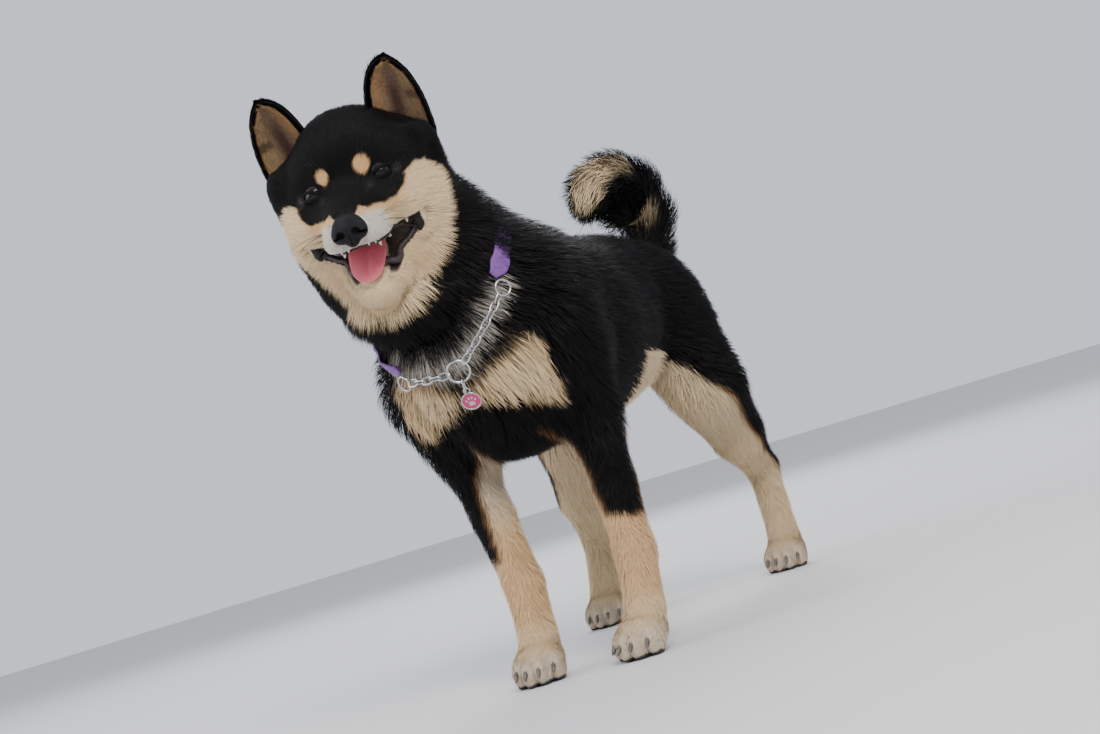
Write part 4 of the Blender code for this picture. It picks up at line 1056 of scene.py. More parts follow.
# the skin takes the colour of the hair that lies over it
skin_q = to_head(sv)
lie_s = lie_of(sv, skin_q, vn)
lie_s = lie_s - vn * (lie_s * vn).sum(1)[:, None]
lie_s /= np.linalg.norm(lie_s, axis=1)[:, None] + 1e-9
dep_s = zone(sv, skin_q)[0]
over_s = sv + lie_s * (0.80 * (0.0026 + 1.65 * dep_s))[:, None] + vn * (0.8 * dep_s)[:, None]
col_s = markings(over_s, to_head(over_s))
own_s = markings(sv, skin_q)
inner = wide_gape(skin_q) < 0.0016
col_s[inner] = own_s[inner]
front_s = np.where((skin_q[:, 1] < 0.01) & (skin_q[:, 2] < -0.02) & (skin_q[:, 2] > -0.10) & (neck_side(sv) > 0.02))[0]
lip_gap = np.linalg.norm(skin_q[front_s, None] - lip_low[None, ::2], axis=-1).min(1)
close = front_s[lip_gap < 0.0036]
col_s[close] = LIPS
layer = skin.data.attributes["Col"]
if len(layer.data) == len(sv):
    layer.data.foreach_set("color", np.concatenate([np.clip(col_s, 0, 1), np.ones((len(sv), 1))], 1).astype(np.float32).ravel())

nape = ss(-0.075, -0.035, neck_side(P)) * ss(0.075, 0.045, neck_side(P)) * ss(0.0, 0.5, N[:, 2] + 0.6 * N[:, 1])
length = np.clip(0.0026 + D * 1.65, 0.0036, 0.025)
length = length * (0.80 + 0.40 * rng.random(count))
rise = D * np.clip(0.90 + 0.09 * rng.normal(size=count) + 0.25 * nape, 0.45, 1.25)
size = np.where(D < 0.004, 0.0035, np.where(D < 0.009, 0.0060, 0.0095))
cl = np.empty_like(P)
cn = np.empty(count)
for sz in np.unique(size):
    m = size == sz
    cl[m], cn[m] = nearest_centre(P[m], sz, 40)
rise = rise * (0.86 + 0.24 * cn)
length = length * (0.90 + 0.20 * cn)

SEG = 3
pull = np.where(D < 0.0055, 0.06, np.where(HW > 0.5, 0.14, 0.24)) * (0.6 + 0.8 * rng.random(count))
to_c = cl - P
to_c = to_c - N * (to_c * N).sum(1)[:, None]
spine = []
for t in np.linspace(0, 1, SEG + 1):
    h = rise * (1 - (1 - t) ** 1.7)
    pos = P + T * (length * t)[:, None] + to_c * (pull * t ** 1.3)[:, None] + N * h[:, None]
    if t > 0:
        g = N
        for _ in range(1):
            pq = to_head(pos)
            now = f_whole(pos)
            want = -D + h
            pos = pos + g * np.clip(want - now, -0.006, 0.006)[:, None]
    spine.append(pos)
spine = np.stack(spine, 1)
# hair over the mouth's opening and the eyes stays short of them
tip_q = to_head(spine[:, -1])
bad = (f_gape(tip_q) < 0.0004) | (f_eyehole(tip_q) < -0.0004)
for k in range(1, SEG + 1):
    spine[bad, k] = spine[bad, 0] + (spine[bad, k] - spine[bad, 0]) * 0.45
part_of = np.ones(count)
front = (HW > 0.3) & (np.abs(Q[:, 0]) < 0.051) & (Q[:, 1] < 0.020) & (Q[:, 2] < -0.005) & (Q[:, 2] > -0.105)
reach = spine[:, -1] - spine[:, 0]
for t in (1.0, 0.85, 0.7, 0.55, 0.4, 0.25, 0.12):
    over = wide_gape(to_head(spine[:, 0] + reach * t)) < 0.0006
    part_of = np.where(over & front, t - 0.10, part_of)
for k in range(1, SEG + 1):
    spine[:, k] = spine[:, 0] + (spine[:, k] - spine[:, 0]) * part_of[:, None]
spine[..., 2] = np.maximum(spine[..., 2], 0.0006)

wide = np.interp(D, (0.0010, 0.0030, 0.0055, 0.0090, 0.0150), (0.00038, 0.00048, 0.00054, 0.00066, 0.00080)) * (0.75 + 0.5 * rng.random(count))
roll = rng.normal(size=count) * 0.38
along = spine[:, -1] - spine[:, 0]
along /= np.linalg.norm(along, axis=1)[:, None] + 1e-9
W = np.cross(along, N)
W /= np.linalg.norm(W, axis=1)[:, None] + 1e-9
B = np.cross(W, along)
W = W * np.cos(roll)[:, None] + B * np.sin(roll)[:, None]

jit = rng.normal(size=count) * 0.0007
seen = P + 0.88 * (spine[:, -1] - P)
hair = markings(seen, to_head(seen), jit)
chin = np.where((HW > 0.3) & (np.abs(Q[:, 0]) < 0.022) & (Q[:, 1] < 0.0) & (Q[:, 2] < -0.06) & (Q[:, 2] > -0.105))[0]
chin_gap = np.linalg.norm(Q[chin, None] - lip_low[None, ::2], axis=-1).min(1)
hair[chin[chin_gap < 0.0060 + 0.0006 * rng.random(len(chin))]] = LIPS
tone = (0.80 + 0.40 * rng.random(count)) * (0.90 + 0.20 * cn)
dark = hair.max(1) < 0.06
tone = np.where(dark, tone, 0.65 + 0.35 * tone)
hair = hair * tone[:, None]
warm = np.where(dark, 0.0, rng.random(count) * 0.10)
hair = hair * (1 - warm[:, None] * V(0.0, 0.35, 0.8))

# pieces: by part, so that no unwrap lies over itself
near_tail = (f_tail(P) < f_trunk_head(P)) & (P[:, 1] > 0.12)
s = neck_side(P)
part = np.zeros(count, int)
part[(P[:, 1] <= -0.06)] = 1
part[(P[:, 1] > -0.06) & (P[:, 1] <= 0.07)] = 2
part[(P[:, 1] > 0.07)] = 3
part[s > -0.030] = 4
part[s > 0.045] = 5
part[(s > 0.045) & (Q[:, 1] < 0.010)] = 6
side_left = P[:, 0] + 0.016 > 0
side_head = Q[:, 0] > 0
low = (P[:, 2] < 0.205) & (s < -0.02)
NAMES = {1: "coat_chest", 2: "coat_flank", 3: "coat_loin", 4: "coat_neck", 5: "coat_cheek", 6: "coat_face"}
label = np.empty(count, object)
for k, nm in NAMES.items():
    lr = side_head if k in (5, 6) else side_left
    label[(part == k) & lr] = nm + "_left"
    label[(part == k) & ~lr] = nm + "_right"
for a, yy in (("front", P[:, 1] < 0.0), ("hind", P[:, 1] >= 0.0)):
    label[low & yy & side_left] = "coat_%s_leg_left" % a
    label[low & yy & ~side_left] = "coat_%s_leg_right" % a
label[near_tail] = "coat_tail"


def coat_piece(name, sp, wv, wd, col, nrm, root, seg):
    """blades as one mesh with a small patch of the unwrap for each"""
    m = len(sp)
    prof = np.linspace(0, 1, seg + 1)[:-1]
    rows = []
    cols = []
    for k, t in enumerate(prof):
        half = wv * (wd * (1 - 0.62 * t ** 1.5) * 0.5)[:, None]
        rows += [sp[:, k] - half, sp[:, k] + half]
        # painted shade: the lower part of each blade is darkened towards the root, where the hair above it shades it
        c = col * (0.80 + 0.20 * min(1, t * 1.6)) if t < 0.6 else col
        cols += [c, c]
    # painted light: the tip is made a little lighter than the hair's own colour
    rows.append(sp[:, seg])
    cols.append(col * 1.04)
    per = 2 * seg + 1
    v = np.stack(rows, 1).reshape(-1, 3)
    c = np.stack(cols, 1).reshape(-1, 3)
    base = (np.arange(m) * per)[:, None]
    local = []
    for k in range(seg - 1):
        local += [(2 * k, 2 * k + 1, 2 * k + 3), (2 * k, 2 * k + 3, 2 * k + 2)]
    local.append((2 * seg - 2, 2 * seg - 1, 2 * seg))
    f = (base[:, None] + np.array(local)[None]).reshape(-1, 3)
    ob = to_mesh(name, v, f, np.full(len(f), 3), True, c)
    # unwrap: the side that the skin faces at the root picks one of six charts, laid out three by two
    ax = np.abs(nrm).argmax(1)
    sg = nrm[np.arange(m), ax] > 0
    chart = ax * 2 + sg
    lo, hi = root.min(0), root.max(0)
    sp_ = np.maximum(hi - lo, 1e-6)
    uv = np.empty((m, 2))
    for k in range(3):
        a, b = (k + 1) % 3, (k + 2) % 3
        sel = ax == k
        uv[sel] = ((root[sel] - lo) / sp_)[:, [a, b]]
    cell = np.stack([chart % 3, chart // 3], 1)
    uv = (cell + 0.03 + uv * 0.94) / V(3, 2)[None, :2]
    patch_w = 0.003
    pu = np.tile(np.array([x for k in range(seg) for x in (-0.5, 0.5)] + [0.0]), (m, 1))
    pv = np.tile(np.array([x - 0.5 for k in prof for x in (k, k)] + [0.5]), (m, 1))
    uvv = np.stack([uv[:, 0, None] + pu * patch_w, uv[:, 1, None] + pv * patch_w], -1).reshape(-1, 2)
    layer = ob.data.uv_layers.new(name="OFBake")
    layer.data.foreach_set("uv", uvv[f.ravel()].ravel())
    ob.data.materials.append(M_FUR)
    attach(ob, "root")
    return ob, len(f)


tris = 0
for name in sorted(set(label)):
    m = label == name
    short = np.median(D[m]) < 0.0055
    sp, seg = spine[m], SEG
    if short:
        sp, seg = spine[m][:, [0, 1, 3]], 2
    n_b = m.sum()
    cap = 195000 // (2 * seg - 1)
    groups = int(np.ceil(n_b / cap))
    order = np.argsort(P[m][:, 2], kind="stable")
    for g in range(groups):
        pick = order[g * n_b // groups:(g + 1) * n_b // groups]
        ob, t = coat_piece(name if groups == 1 else "%s_%d" % (name, g + 1), sp[pick], W[m][pick], wide[m][pick], hair[m][pick], N[m][pick], P[m][pick], seg)
        tris += t
print("coat", count, "tufts", tris, "triangles")

# ---------------------------------------------------------------- ears
def blade_piece(name, P, N, T, L, rise, wide, col, seg=2, pull=0.0, patch_axes=(0, 2)):
    P = np.asarray(P)
    m = len(P)
    T = T - N * (T * N).sum(1)[:, None]
    T /= np.linalg.norm(T, axis=1)[:, None] + 1e-9
    ts = np.linspace(0, 1, seg + 1)
    sp = np.stack([P + T * (L * t)[:, None] + N * (rise * (1 - (1 - t) ** 1.6))[:, None] for t in ts], 1)
    al = sp[:, -1] - sp[:, 0]
    al /= np.linalg.norm(al, axis=1)[:, None] + 1e-9
    Wd = np.cross(al, N)
    Wd /= np.linalg.norm(Wd, axis=1)[:, None] + 1e-9
    Bn = np.cross(Wd, al)
    r = rng.normal(size=m) * 0.5
    Wd = Wd * np.cos(r)[:, None] + Bn * np.sin(r)[:, None]
    return coat_piece(name, sp, Wd, wide, col, N, P, seg)


BOOST = 1.0
for side, name in ((1, "ear_left"), (-1, "ear_right")):
    nu, nv = 33, 33
    A, Bk = ear_sides(nu, nv, side, 0.0030, -0.30)
    ring = np.concatenate([A, Bk[::-1]], 0)
    v = from_head(ring.reshape(-1, 3))
    f = grid_faces(2 * nu, nv, wrap_u=True, flip=(side < 0))
    # the two ends: pairs of front and back rows
    caps = []
    for j in (0, nv - 1):
        for i in range(nu - 1):
            c = (i * nv + j, (i + 1) * nv + j, (2 * nu - 2 - i) * nv + j, (2 * nu - 1 - i) * nv + j)
            caps.append(c if (j == 0) == (side < 0) else c[::-1])
    f = np.concatenate([f, np.array(caps)])
    u = (1 - np.cos(np.linspace(0, np.pi, nu))) / 2
    vv = np.minimum(-0.30 + 1.30 * (1 - (1 - np.linspace(0, 1, nv)) ** 1.4), 0.992)
    U, VV = np.meshgrid(u, vv, indexing="ij")

    def inner_colour(U, VV, p):
        edge = np.minimum(np.minimum(U, 1 - U) * 2.2, (1 - VV) * 1.6)
        c = np.repeat((TAN * 1.12)[None], len(U), 0)
        mid = ss(0.16, 0.40, np.minimum(U, 1 - U)) * ss(1.02, 0.70, VV)
        c = mix(c, V(0.460, 0.310, 0.225), mid * 0.85)
        # painted shade: the middle of the inner face near the ear's base, the deepest part of the cup, is darkened
        c = mix(c, V(0.110, 0.062, 0.046), ss(0.30, 0.48, np.minimum(U, 1 - U)) * ss(0.55, 0.10, VV) * 0.75)
        c = mix(c, CREAM * 0.9, ss(0.58, 0.80, U) * ss(0.97, 0.85, U) * ss(0.80, 0.50, VV) * 0.5)
        rim_w = 0.145 - 0.055 * ss(0.5, 0.9, U) + 0.02 * ss(0.6, 0.9, VV)
        c = mix(c, BLACK, inside(rim_w - edge + 0.03 * noise(p, 0.004, 8), 0.025))
        # painted shade: a dark line along the fold near the outer edge, where the crease lies in shade
        fold = 0.050 - np.abs(VV - 0.24 - 0.25 * (U - 0.8))
        return mix(c, BLACK * 2, inside(fold + 0.02 * noise(p, 0.003, 12), 0.02) * ss(0.66, 0.78, U) * 0.50)
    ca = inner_colour(U.ravel(), VV.ravel(), v[:nu * nv])
    cb = np.repeat(BLACK[None], nu * nv, 0)
    piece(name + "_leather", v, f, [name], M_SKIN, np.concatenate([ca * 0.75, cb]))
    # hair on both faces
    n_h = int((26000))
    uu, tt = rng.random(n_h), rng.random(n_h) ** 1.15
    vvv = -0.12 + 1.11 * tt
    keep = np.ones(n_h, bool)
    e = 2e-3
    p0 = ear_sheet(uu, vvv)
    du = ear_sheet(np.clip(uu + e, 0, 1), vvv) - ear_sheet(np.clip(uu - e, 0, 1), vvv)
    dv = ear_sheet(uu, np.minimum(vvv + e, 1)) - ear_sheet(uu, vvv - e)
    n = np.cross(du, dv)
    n /= np.linalg.norm(n, axis=1)[:, None] + 1e-12
    n = np.where((n[:, 1] < 0)[:, None], -n, n)
    dv /= np.linalg.norm(dv, axis=1)[:, None] + 1e-12
    du /= np.linalg.norm(du, axis=1)[:, None] + 1e-12
    flip = V(side, 1, 1)
    for face_name, sgn, k in (("in", -1, 0), ("out", 1, 1)):
        nn = n * sgn
        th = 0.0030 * (0.35 + 0.65 * np.sqrt(np.clip(4 * uu * (1 - uu), 0, 1))) * (1 - 0.45 * np.clip(vvv, 0, 1) ** 3)
        pw = from_head((p0 + nn * (th / 2)[:, None]) * flip)
        nw = (nn * flip) @ HEAD_R.T
        if sgn < 0:
            dirv = dv * 0.9 + du * (0.55 * (0.5 - uu) * 2 * np.where(vvv > 0.6, 0.2, -0.6))[:, None]
            col = inner_colour(uu, vvv, pw) * (0.55 + 0.75 * rng.random(n_h))[:, None]
            L = 0.0042 + 0.0030 * ss(0.3, 0.0, np.minimum(uu, 1 - uu)) + 0.004 * ss(0.3, 0.0, vvv)
            L = np.minimum(L, 0.0020 + 0.030 * (1 - vvv))
            rs = 0.0012 + 0.0026 * rng.random(n_h)
        else:
            dirv = dv
            col = np.repeat(BLACK[None], n_h, 0) * (0.7 + 0.6 * rng.random(n_h))[:, None]
            L = 0.0060 * (0.7 + 0.5 * rng.random(n_h)) * np.where(vvv > 0.93, 0.5, 1.0)
            rs = 0.0008 + 0.0006 * rng.random(n_h)
        tw = (dirv * flip) @ HEAD_R.T + 0.10 * rng.normal(size=(n_h, 3))
        blade_piece("coat_" + name + "_" + face_name, pw, nw, tw, L, rs, np.full(n_h, 0.00048 * BOOST), col)

# ---------------------------------------------------------------- eyes and lids
EYE_C, EYE_U = V(0.861, 0.503, 0.069), None
EYE_G = V(0.50, -0.865, 0.040)
EYE_G = EYE_G / np.linalg.norm(EYE_G)
EYE_C = EYE_C - EYE_G * (EYE_C @ EYE_G)
EYE_C /= np.linalg.norm(EYE_C)
EYE_U = np.cross(EYE_G, EYE_C)
EYE_U = EYE_U * np.sign(EYE_U[2])
EYE_DEEP = V(*EYE_AT) - EYE_G * 0.0014
for side, name in ((1, "eye_left"), (-1, "eye_right")):
    flip = V(side, 1, 1)
    nu, nv = 48, 40
    th = np.linspace(0, np.pi, nv)
    ph = np.linspace(0, 2 * np.pi, nu, endpoint=False)
    PH, TH = np.meshgrid(ph, th, indexing="ij")
    r = EYE_R * (1 + 0.045 * np.exp(-(TH / 0.42) ** 2))
    loc = np.stack([np.sin(TH) * np.cos(PH), np.sin(TH) * np.sin(PH), np.cos(TH)], -1) * r[..., None]
    q = EYE_DEEP + loc[..., 0:1] * EYE_C + loc[..., 1:2] * EYE_U + loc[..., 2:3] * EYE_G
    v = from_head((q * flip).reshape(-1, 3))
    ang = TH.ravel()
    streak = 0.5 + 0.5 * np.sin(PH.ravel() * 23 + 2 * np.sin(PH.ravel() * 7))
    c = np.repeat(V(0.009, 0.0045, 0.0028)[None], len(v), 0) * (0.7 + 0.6 * streak[:, None])
    c = mix(c, V(0.002, 0.002, 0.002), ss(0.36, 0.30, ang))
    c = mix(c, V(0.003, 0.002, 0.002), ss(0.62, 0.72, ang))
    c = mix(c, V(0.012, 0.009, 0.008), ss(0.80, 0.95, ang))
    piece(name, v, grid_faces(nu, nv, wrap_u=True, flip=(side < 0)), [name], M_EYE, c)
    # lids: from the rim of an almond opening out to the skin
    n, rows = 72, 10
    a = 2 * np.pi * np.arange(n) / n
    X = 0.0074 * np.cos(a)
    lift = np.where(np.sin(a) > 0, 0.0028, 0.0023)
    Z = lift * np.sign(np.sin(a)) * np.abs(np.sin(a)) ** 0.85 + 0.0004 * np.cos(a)

    def at_rim(X, Z, R):
        g = np.sqrt(np.maximum(R * R - X * X - Z * Z, (0.42 * R) ** 2))
        return EYE_DEEP + X[:, None] * EYE_C + Z[:, None] * EYE_U + g[:, None] * EYE_G
    rim_in = at_rim(X, Z, EYE_R * 1.045 - 0.0003)
    rim = at_rim(X * 1.02, Z * 1.05, EYE_R + 0.0009)
    fold = at_rim(X * 1.12, Z * 1.32 + 0.0006 * np.sin(a), EYE_R + 0.0011)
    out = at_rim(X * 1.50, Z * 2.6, EYE_R + 0.001)
    far = to_head(project_to(f_skin, from_head(out * flip), 6)) * flip
    # the outer ring is drawn from the skin without the eye's hole, a little under it
    rowsq = [rim_in, rim]
    for t in np.linspace(0, 1, rows)[1:]:
        w = ss(0, 1, t)
        p = fold * (1 - w) + far * w
        p = p + EYE_G * 0.0007 * np.sin(np.pi * t) - EYE_G * 0.0008 * t
        rowsq.append(p)
    rowsq = np.stack(rowsq, 1)
    v = from_head((rowsq * flip).reshape(-1, 3))
    piece(name.replace("eye", "lid"), v, grid_faces(n, rows + 1, wrap_u=True, flip=(side > 0)), (), M_LID, None)
    # short hair on the lids, running out from the rim
    grid_v = v.reshape(n, rows + 1, 3)
    n_l = 4200
    ai, ti = rng.random(n_l) * n, 2.4 + rng.random(n_l) * (rows - 2.6)
    i0, j0 = ai.astype(int) % n, ti.astype(int)
    fa_, fj = (ai % 1)[:, None], (ti % 1)[:, None]
    g00, g10, g01, g11 = grid_v[i0, j0], grid_v[(i0 + 1) % n, j0], grid_v[i0, j0 + 1], grid_v[(i0 + 1) % n, j0 + 1]
    pw = g00 * (1 - fa_) * (1 - fj) + g10 * fa_ * (1 - fj) + g01 * (1 - fa_) * fj + g11 * fa_ * fj
    nrm = np.cross(g10 - g00, g01 - g00)
    nrm /= np.linalg.norm(nrm, axis=1)[:, None] + 1e-12
    gw = (EYE_G * flip) @ HEAD_R.T
    nrm = np.where(((nrm * gw).sum(1) < 0)[:, None], -nrm, nrm)
    pq = to_head(pw)
    lie_l = (pq - NOSE_Q) / np.linalg.norm(pq - NOSE_Q, axis=1)[:, None]
    outw = (g01 - g00) / (np.linalg.norm(g01 - g00, axis=1)[:, None] + 1e-12)
    col_l = mix(markings(pw, pq, rng.normal(size=n_l) * 0.0006), BLACK, np.full(n_l, 0.9))
    blade_piece("coat_lid_" + name[4:], pw, nrm, lie_l @ HEAD_R.T * 0.8 + outw * 0.7, 0.0022 + 0.0014 * rng.random(n_l), np.full(n_l, 0.0005), np.full(n_l, 0.00034 * BOOST), col_l)

# ---------------------------------------------------------------- nose leather
def f_nose(r):
    m = np.stack([np.abs(r[..., 0]), r[..., 1], r[..., 2]], -1)
    d = f_ellipsoid(r, V(0, 0, 0), V(0.0140, 0.0098, 0.0112))
    d = blend(d, f_ellipsoid(m, V(0.0082, -0.0022, -0.0022), V(0.0064, 0.0074, 0.0068)), 0.0025)
    d = blend(d, f_ellipsoid(r, V(0, 0.0005, 0.0045), V(0.0108, 0.0092, 0.0075)), 0.003)
    d = blend(d, f_ellipsoid(r, V(0, -0.0035, -0.0090), V(0.0050, 0.0060, 0.0045)), 0.003)
    d = carve(d, f_ellipsoid(m, V(0.0064, -0.0102, -0.0010), V(0.0033, 0.0052, 0.0032), euler(0, 0, 15)), 0.0014)
    d = carve(d, f_ellipsoid(m, V(0.0112, -0.0072, -0.0030), V(0.0046, 0.0042, 0.0011), euler(-15, 0, 18)), 0.0010)
    return carve(d, f_ellipsoid(r, V(0, -0.0128, -0.0085), V(0.0005, 0.0048, 0.0085)), 0.0010)


NOSE_ROT = euler(0, 14, 0)
v, q = surface_nets(f_nose, V(-0.018, -0.014, -0.016), V(0.018, 0.013, 0.015), 0.00055)
v = project_to(f_nose, v, 2, 1e-4, 0.0004)
v = from_head(v @ NOSE_ROT.T + V(*NOSE_AT))
piece("nose", v, q, ["nose"], M_LEATHER, None)

# ---------------------------------------------------------------- mouth: lips, tongue and teeth
t = np.abs(lip_ang) / lip_ang.max()
v, f = tube(from_head(lip_low), 0.0034 + 0.0010 * np.sin(np.pi * np.clip(t * 1.15, 0, 1)) ** 2 - 0.0014 * t, 16, 0.9, up=from_head(V(0, -0.5, 0.8)) - HEAD_POS)
rough_v = v + 0.00035 * np.stack([noise(v, 0.0022, 60 + k) for k in range(3)], 1)
piece("lip_lower", rough_v, f, (), M_LIP, None)
mid_lip = np.abs(np.degrees(lip_ang)) < 74
v, f = tube(from_head(lip_up[mid_lip]), 0.0008 + 0.0006 * t[mid_lip], 12, 0.9)
piece("lip_upper", v + 0.0002 * np.stack([noise(v, 0.0022, 64 + k) for k in range(3)], 1), f, (), M_LIP, None)

nu, nv = 64, 40
a = np.linspace(0, 2 * np.pi, nu, endpoint=False)
b = np.linspace(-np.pi / 2, np.pi / 2, nv)
A_, B_ = np.meshgrid(a, b, indexing="ij")
px, py, pz = np.cos(B_) * np.cos(A_), np.sin(B_), np.cos(B_) * np.sin(A_)
px = np.sign(px) * np.abs(px) ** 0.85
y = -0.0215 - 0.0235 * py
bed = MOUTH_APEX[2] - MOUTH_DOWN * (MOUTH_APEX[1] - y)
groove = np.exp(-(px / 0.16) ** 2) * (0.45 + 0.25 * py)
x = px * (0.0160 + 0.0006 * py) - 0.0022 * ss(-0.6, 0.8, py)
z = bed + 0.0044 + np.where(pz > 0, pz * 0.0030 * (1 - groove), pz * 0.0024) + 0.0016 * px ** 2 * np.clip(0.7 - py, 0, 1)
q = np.stack([x, y, z], -1).reshape(-1, 3)
v = from_head(q)
v = v + (from_head(V(0, 0.0005, 0.0028)) - HEAD_POS)
piece("tongue", v, grid_faces(nu, nv, wrap_u=True, flip=True), ["tongue"], M_TONGUE, None)


def cone_tooth(at, direction, tall, r0, bend=0.0, nu=16, nv=9):
    d = V(*direction) / np.linalg.norm(direction)
    x = np.cross(d, V(0, 1, 0.2))
    x /= np.linalg.norm(x)
    yv = np.cross(d, x)
    tt = np.linspace(0, 1, nv)
    prof = r0 * np.sqrt(np.clip(1 - tt ** 2.2, 0, 1)) * (1 - 0.25 * tt) + 1e-5
    aa = 2 * np.pi * np.arange(nu) / nu
    c = V(*at) + d * (tall * tt)[:, None] + yv * (bend * tt ** 2)[:, None]
    v = c[:, None] + prof[:, None, None] * (np.cos(aa)[None, :, None] * x + 1.2 * np.sin(aa)[None, :, None] * yv)
    return v.reshape(-1, 3), grid_faces(nv, nu, wrap_v=True)


for name, at, d, tall in (("canine_upper_left", (0.0150, -0.0400, -0.0452), (0.05, -0.10, -1), 0.0085),
                          ("canine_upper_right", (-0.0150, -0.0400, -0.0452), (-0.05, -0.10, -1), 0.0085),
                          ("canine_lower_left", (0.0112, -0.0270, -0.0785), (0.05, -0.25, 1), 0.0055),
                          ("canine_lower_right", (-0.0112, -0.0270, -0.0785), (-0.05, -0.25, 1), 0.0055)):
    v, f = cone_tooth(at, d, tall, 0.0019, 0.0012)
    piece(name, from_head(v), f, [name], M_TOOTH, None)
row = []
for slope, drop, sgn, lst in ((MOUTH_UP, 0.0008, -1, (-78, -68, -58, -46, -16, -10, -4, 4, 10, 16, 46, 58, 68, 78)),
                              (MOUTH_DOWN, 0.0, 1, (-72, -60, -48, -14, -8, -3, 3, 8, 14, 48, 60, 72))):
    e = jaw_edge(slope, drop, np.radians(np.array(lst, float)), 0.0050)
    for p, g in zip(e, lst):
        tall = 0.0040 if abs(g) > 30 else 0.0030
        row.append(cone_tooth(p - V(0, 0, sgn * 0.0010), (0, -0.15, sgn), tall + 0.001, 0.0017 if abs(g) > 30 else 0.0012, 0.0, 12, 7))
v, f = joined(row)
piece("small_teeth", from_head(v), f, (), M_TOOTH, None)

# ---------------------------------------------------------------- whiskers
wh = []
for side in (1, -1):
    for i in range(4):
        for j in range(3):
            q0 = V(side * 0.0245, -0.052 + 0.0075 * i + 0.002 * j, -0.0300 - 0.0050 * j)
            p0 = project_to(f_skin, from_head(q0)[None], 6)[0]
            d = V(side * 0.86, 0.20 + 0.14 * i, 0.10 - 0.24 * j) + 0.10 * rng.normal(size=3)
            d = HEAD_R @ (d / np.linalg.norm(d))
            L = 0.020 + 0.0055 * i + 0.004 * rng.random()
            tt = np.linspace(0, 1, 9)
            path = p0 - d * 0.001 + d * (L * tt)[:, None] + V(0, 0, -1) * (0.20 * L * tt ** 2)[:, None]
            wh.append(tube(path, 0.00020 * (1 - 0.85 * tt) + 0.00002, 5, 1.0, ends=False))
    for i in range(3):
        q0 = V(side * (0.016 + 0.004 * i), -0.012, 0.020)
        p0 = project_to(f_skin, from_head(q0)[None], 6)[0]
        d = HEAD_R @ (V(side * 0.35, -0.55, 0.75) / np.linalg.norm(V(0.35, 0.55, 0.75)))
        tt = np.linspace(0, 1, 8)
        path = p0 + d * (0.016 * tt)[:, None] + (HEAD_R @ V(0, 1, 0)) * (0.004 * tt ** 2)[:, None]
        wh.append(tube(path, 0.00015 * (1 - 0.85 * tt) + 0.00002, 5, 1.0, ends=False))
v, f = joined(wh)
piece("whiskers", v, f, (), M_WHISKER, None)

# ---------------------------------------------------------------- claws and pads
def half_ball(c, r, axes, nu=20, nv=12):
    a = np.linspace(0, 2 * np.pi, nu, endpoint=False)
    b = np.linspace(-np.pi / 2, np.pi / 2, nv)
    A_, B_ = np.meshgrid(a, b, indexing="ij")
    loc = np.stack([np.cos(B_) * np.cos(A_) * r[0], np.cos(B_) * np.sin(A_) * r[1], np.sin(B_) * r[2]], -1).reshape(-1, 3)
    v = loc @ axes.T + c
    v[:, 2] = np.maximum(v[:, 2], 0.0)
    return v, grid_faces(nu, nv, wrap_u=True)


for name, L in LEGS.items():
    fe, to = L["fe"], L["to"]
    fw = (to - fe) * V(1, 1, 0)
    fw /= np.linalg.norm(fw)
    side = V(-fw[1], fw[0], 0)
    axes = np.stack([side, fw, V(0, 0, 1)], 1)
    claws, pads = [], [half_ball(to - fw * 0.013 + V(0, 0, 0.0028 - to[2]), (0.0110, 0.0095, 0.0036), axes)]
    for o, g in ((-0.0160, -0.003), (-0.0056, 0.006), (0.0056, 0.006), (0.0160, -0.003)):
        base = to + side * o + fw * (g + 0.0085) + V(0, 0, 0.0005)
        d = fw * 0.88 + side * o * 6 + V(0, 0, -0.40)
        d /= np.linalg.norm(d)
        tt = np.linspace(0, 1, 10)
        path = base + d * (0.0098 * tt)[:, None] + V(0, 0, -0.0032) * (tt ** 2)[:, None]
        path[:, 2] = np.maximum(path[:, 2], 0.0021)
        claws.append(tube(path, 0.0021 * np.sqrt(np.clip(1 - tt ** 1.8, 0, 1)) + 0.0002, 12, 1.15, up=V(0, 0, 1)))
        pads.append(half_ball(to + side * o + fw * (g + 0.0015) + V(0, 0, 0.0024 - to[2]), (0.0052, 0.0072, 0.0030), axes))
    v, f = joined(claws)
    piece(name + "_claws", v, f, (), M_CLAW, None)
    v, f = joined(pads)
    piece(name + "_pads", v, f, (), M_PAD, None)

# ---------------------------------------------------------------- collar
e_1 = V(1, 0, 0) - NC * NC[0]
e_1 /= np.linalg.norm(e_1)
e_2 = np.cross(NC, e_1)


def outline(p):
    return masses_field(p, to_head(p), BODY)


def coat_radius(theta, lift=0.0):
    d = np.cos(theta) * e_1 + np.sin(theta) * e_2
    t = np.linspace(0.03, 0.14, 221)
    f = outline(C0 + NC * lift + t[:, None] * d)
    i = int(np.argmax(f > 0))
    return t[i - 1] + (t[i] - t[i - 1]) * (-f[i - 1]) / (f[i] - f[i - 1])


def angle_of(p):
    k = V(*p) - C0
    return np.arctan2(k @ e_2, k @ e_1)


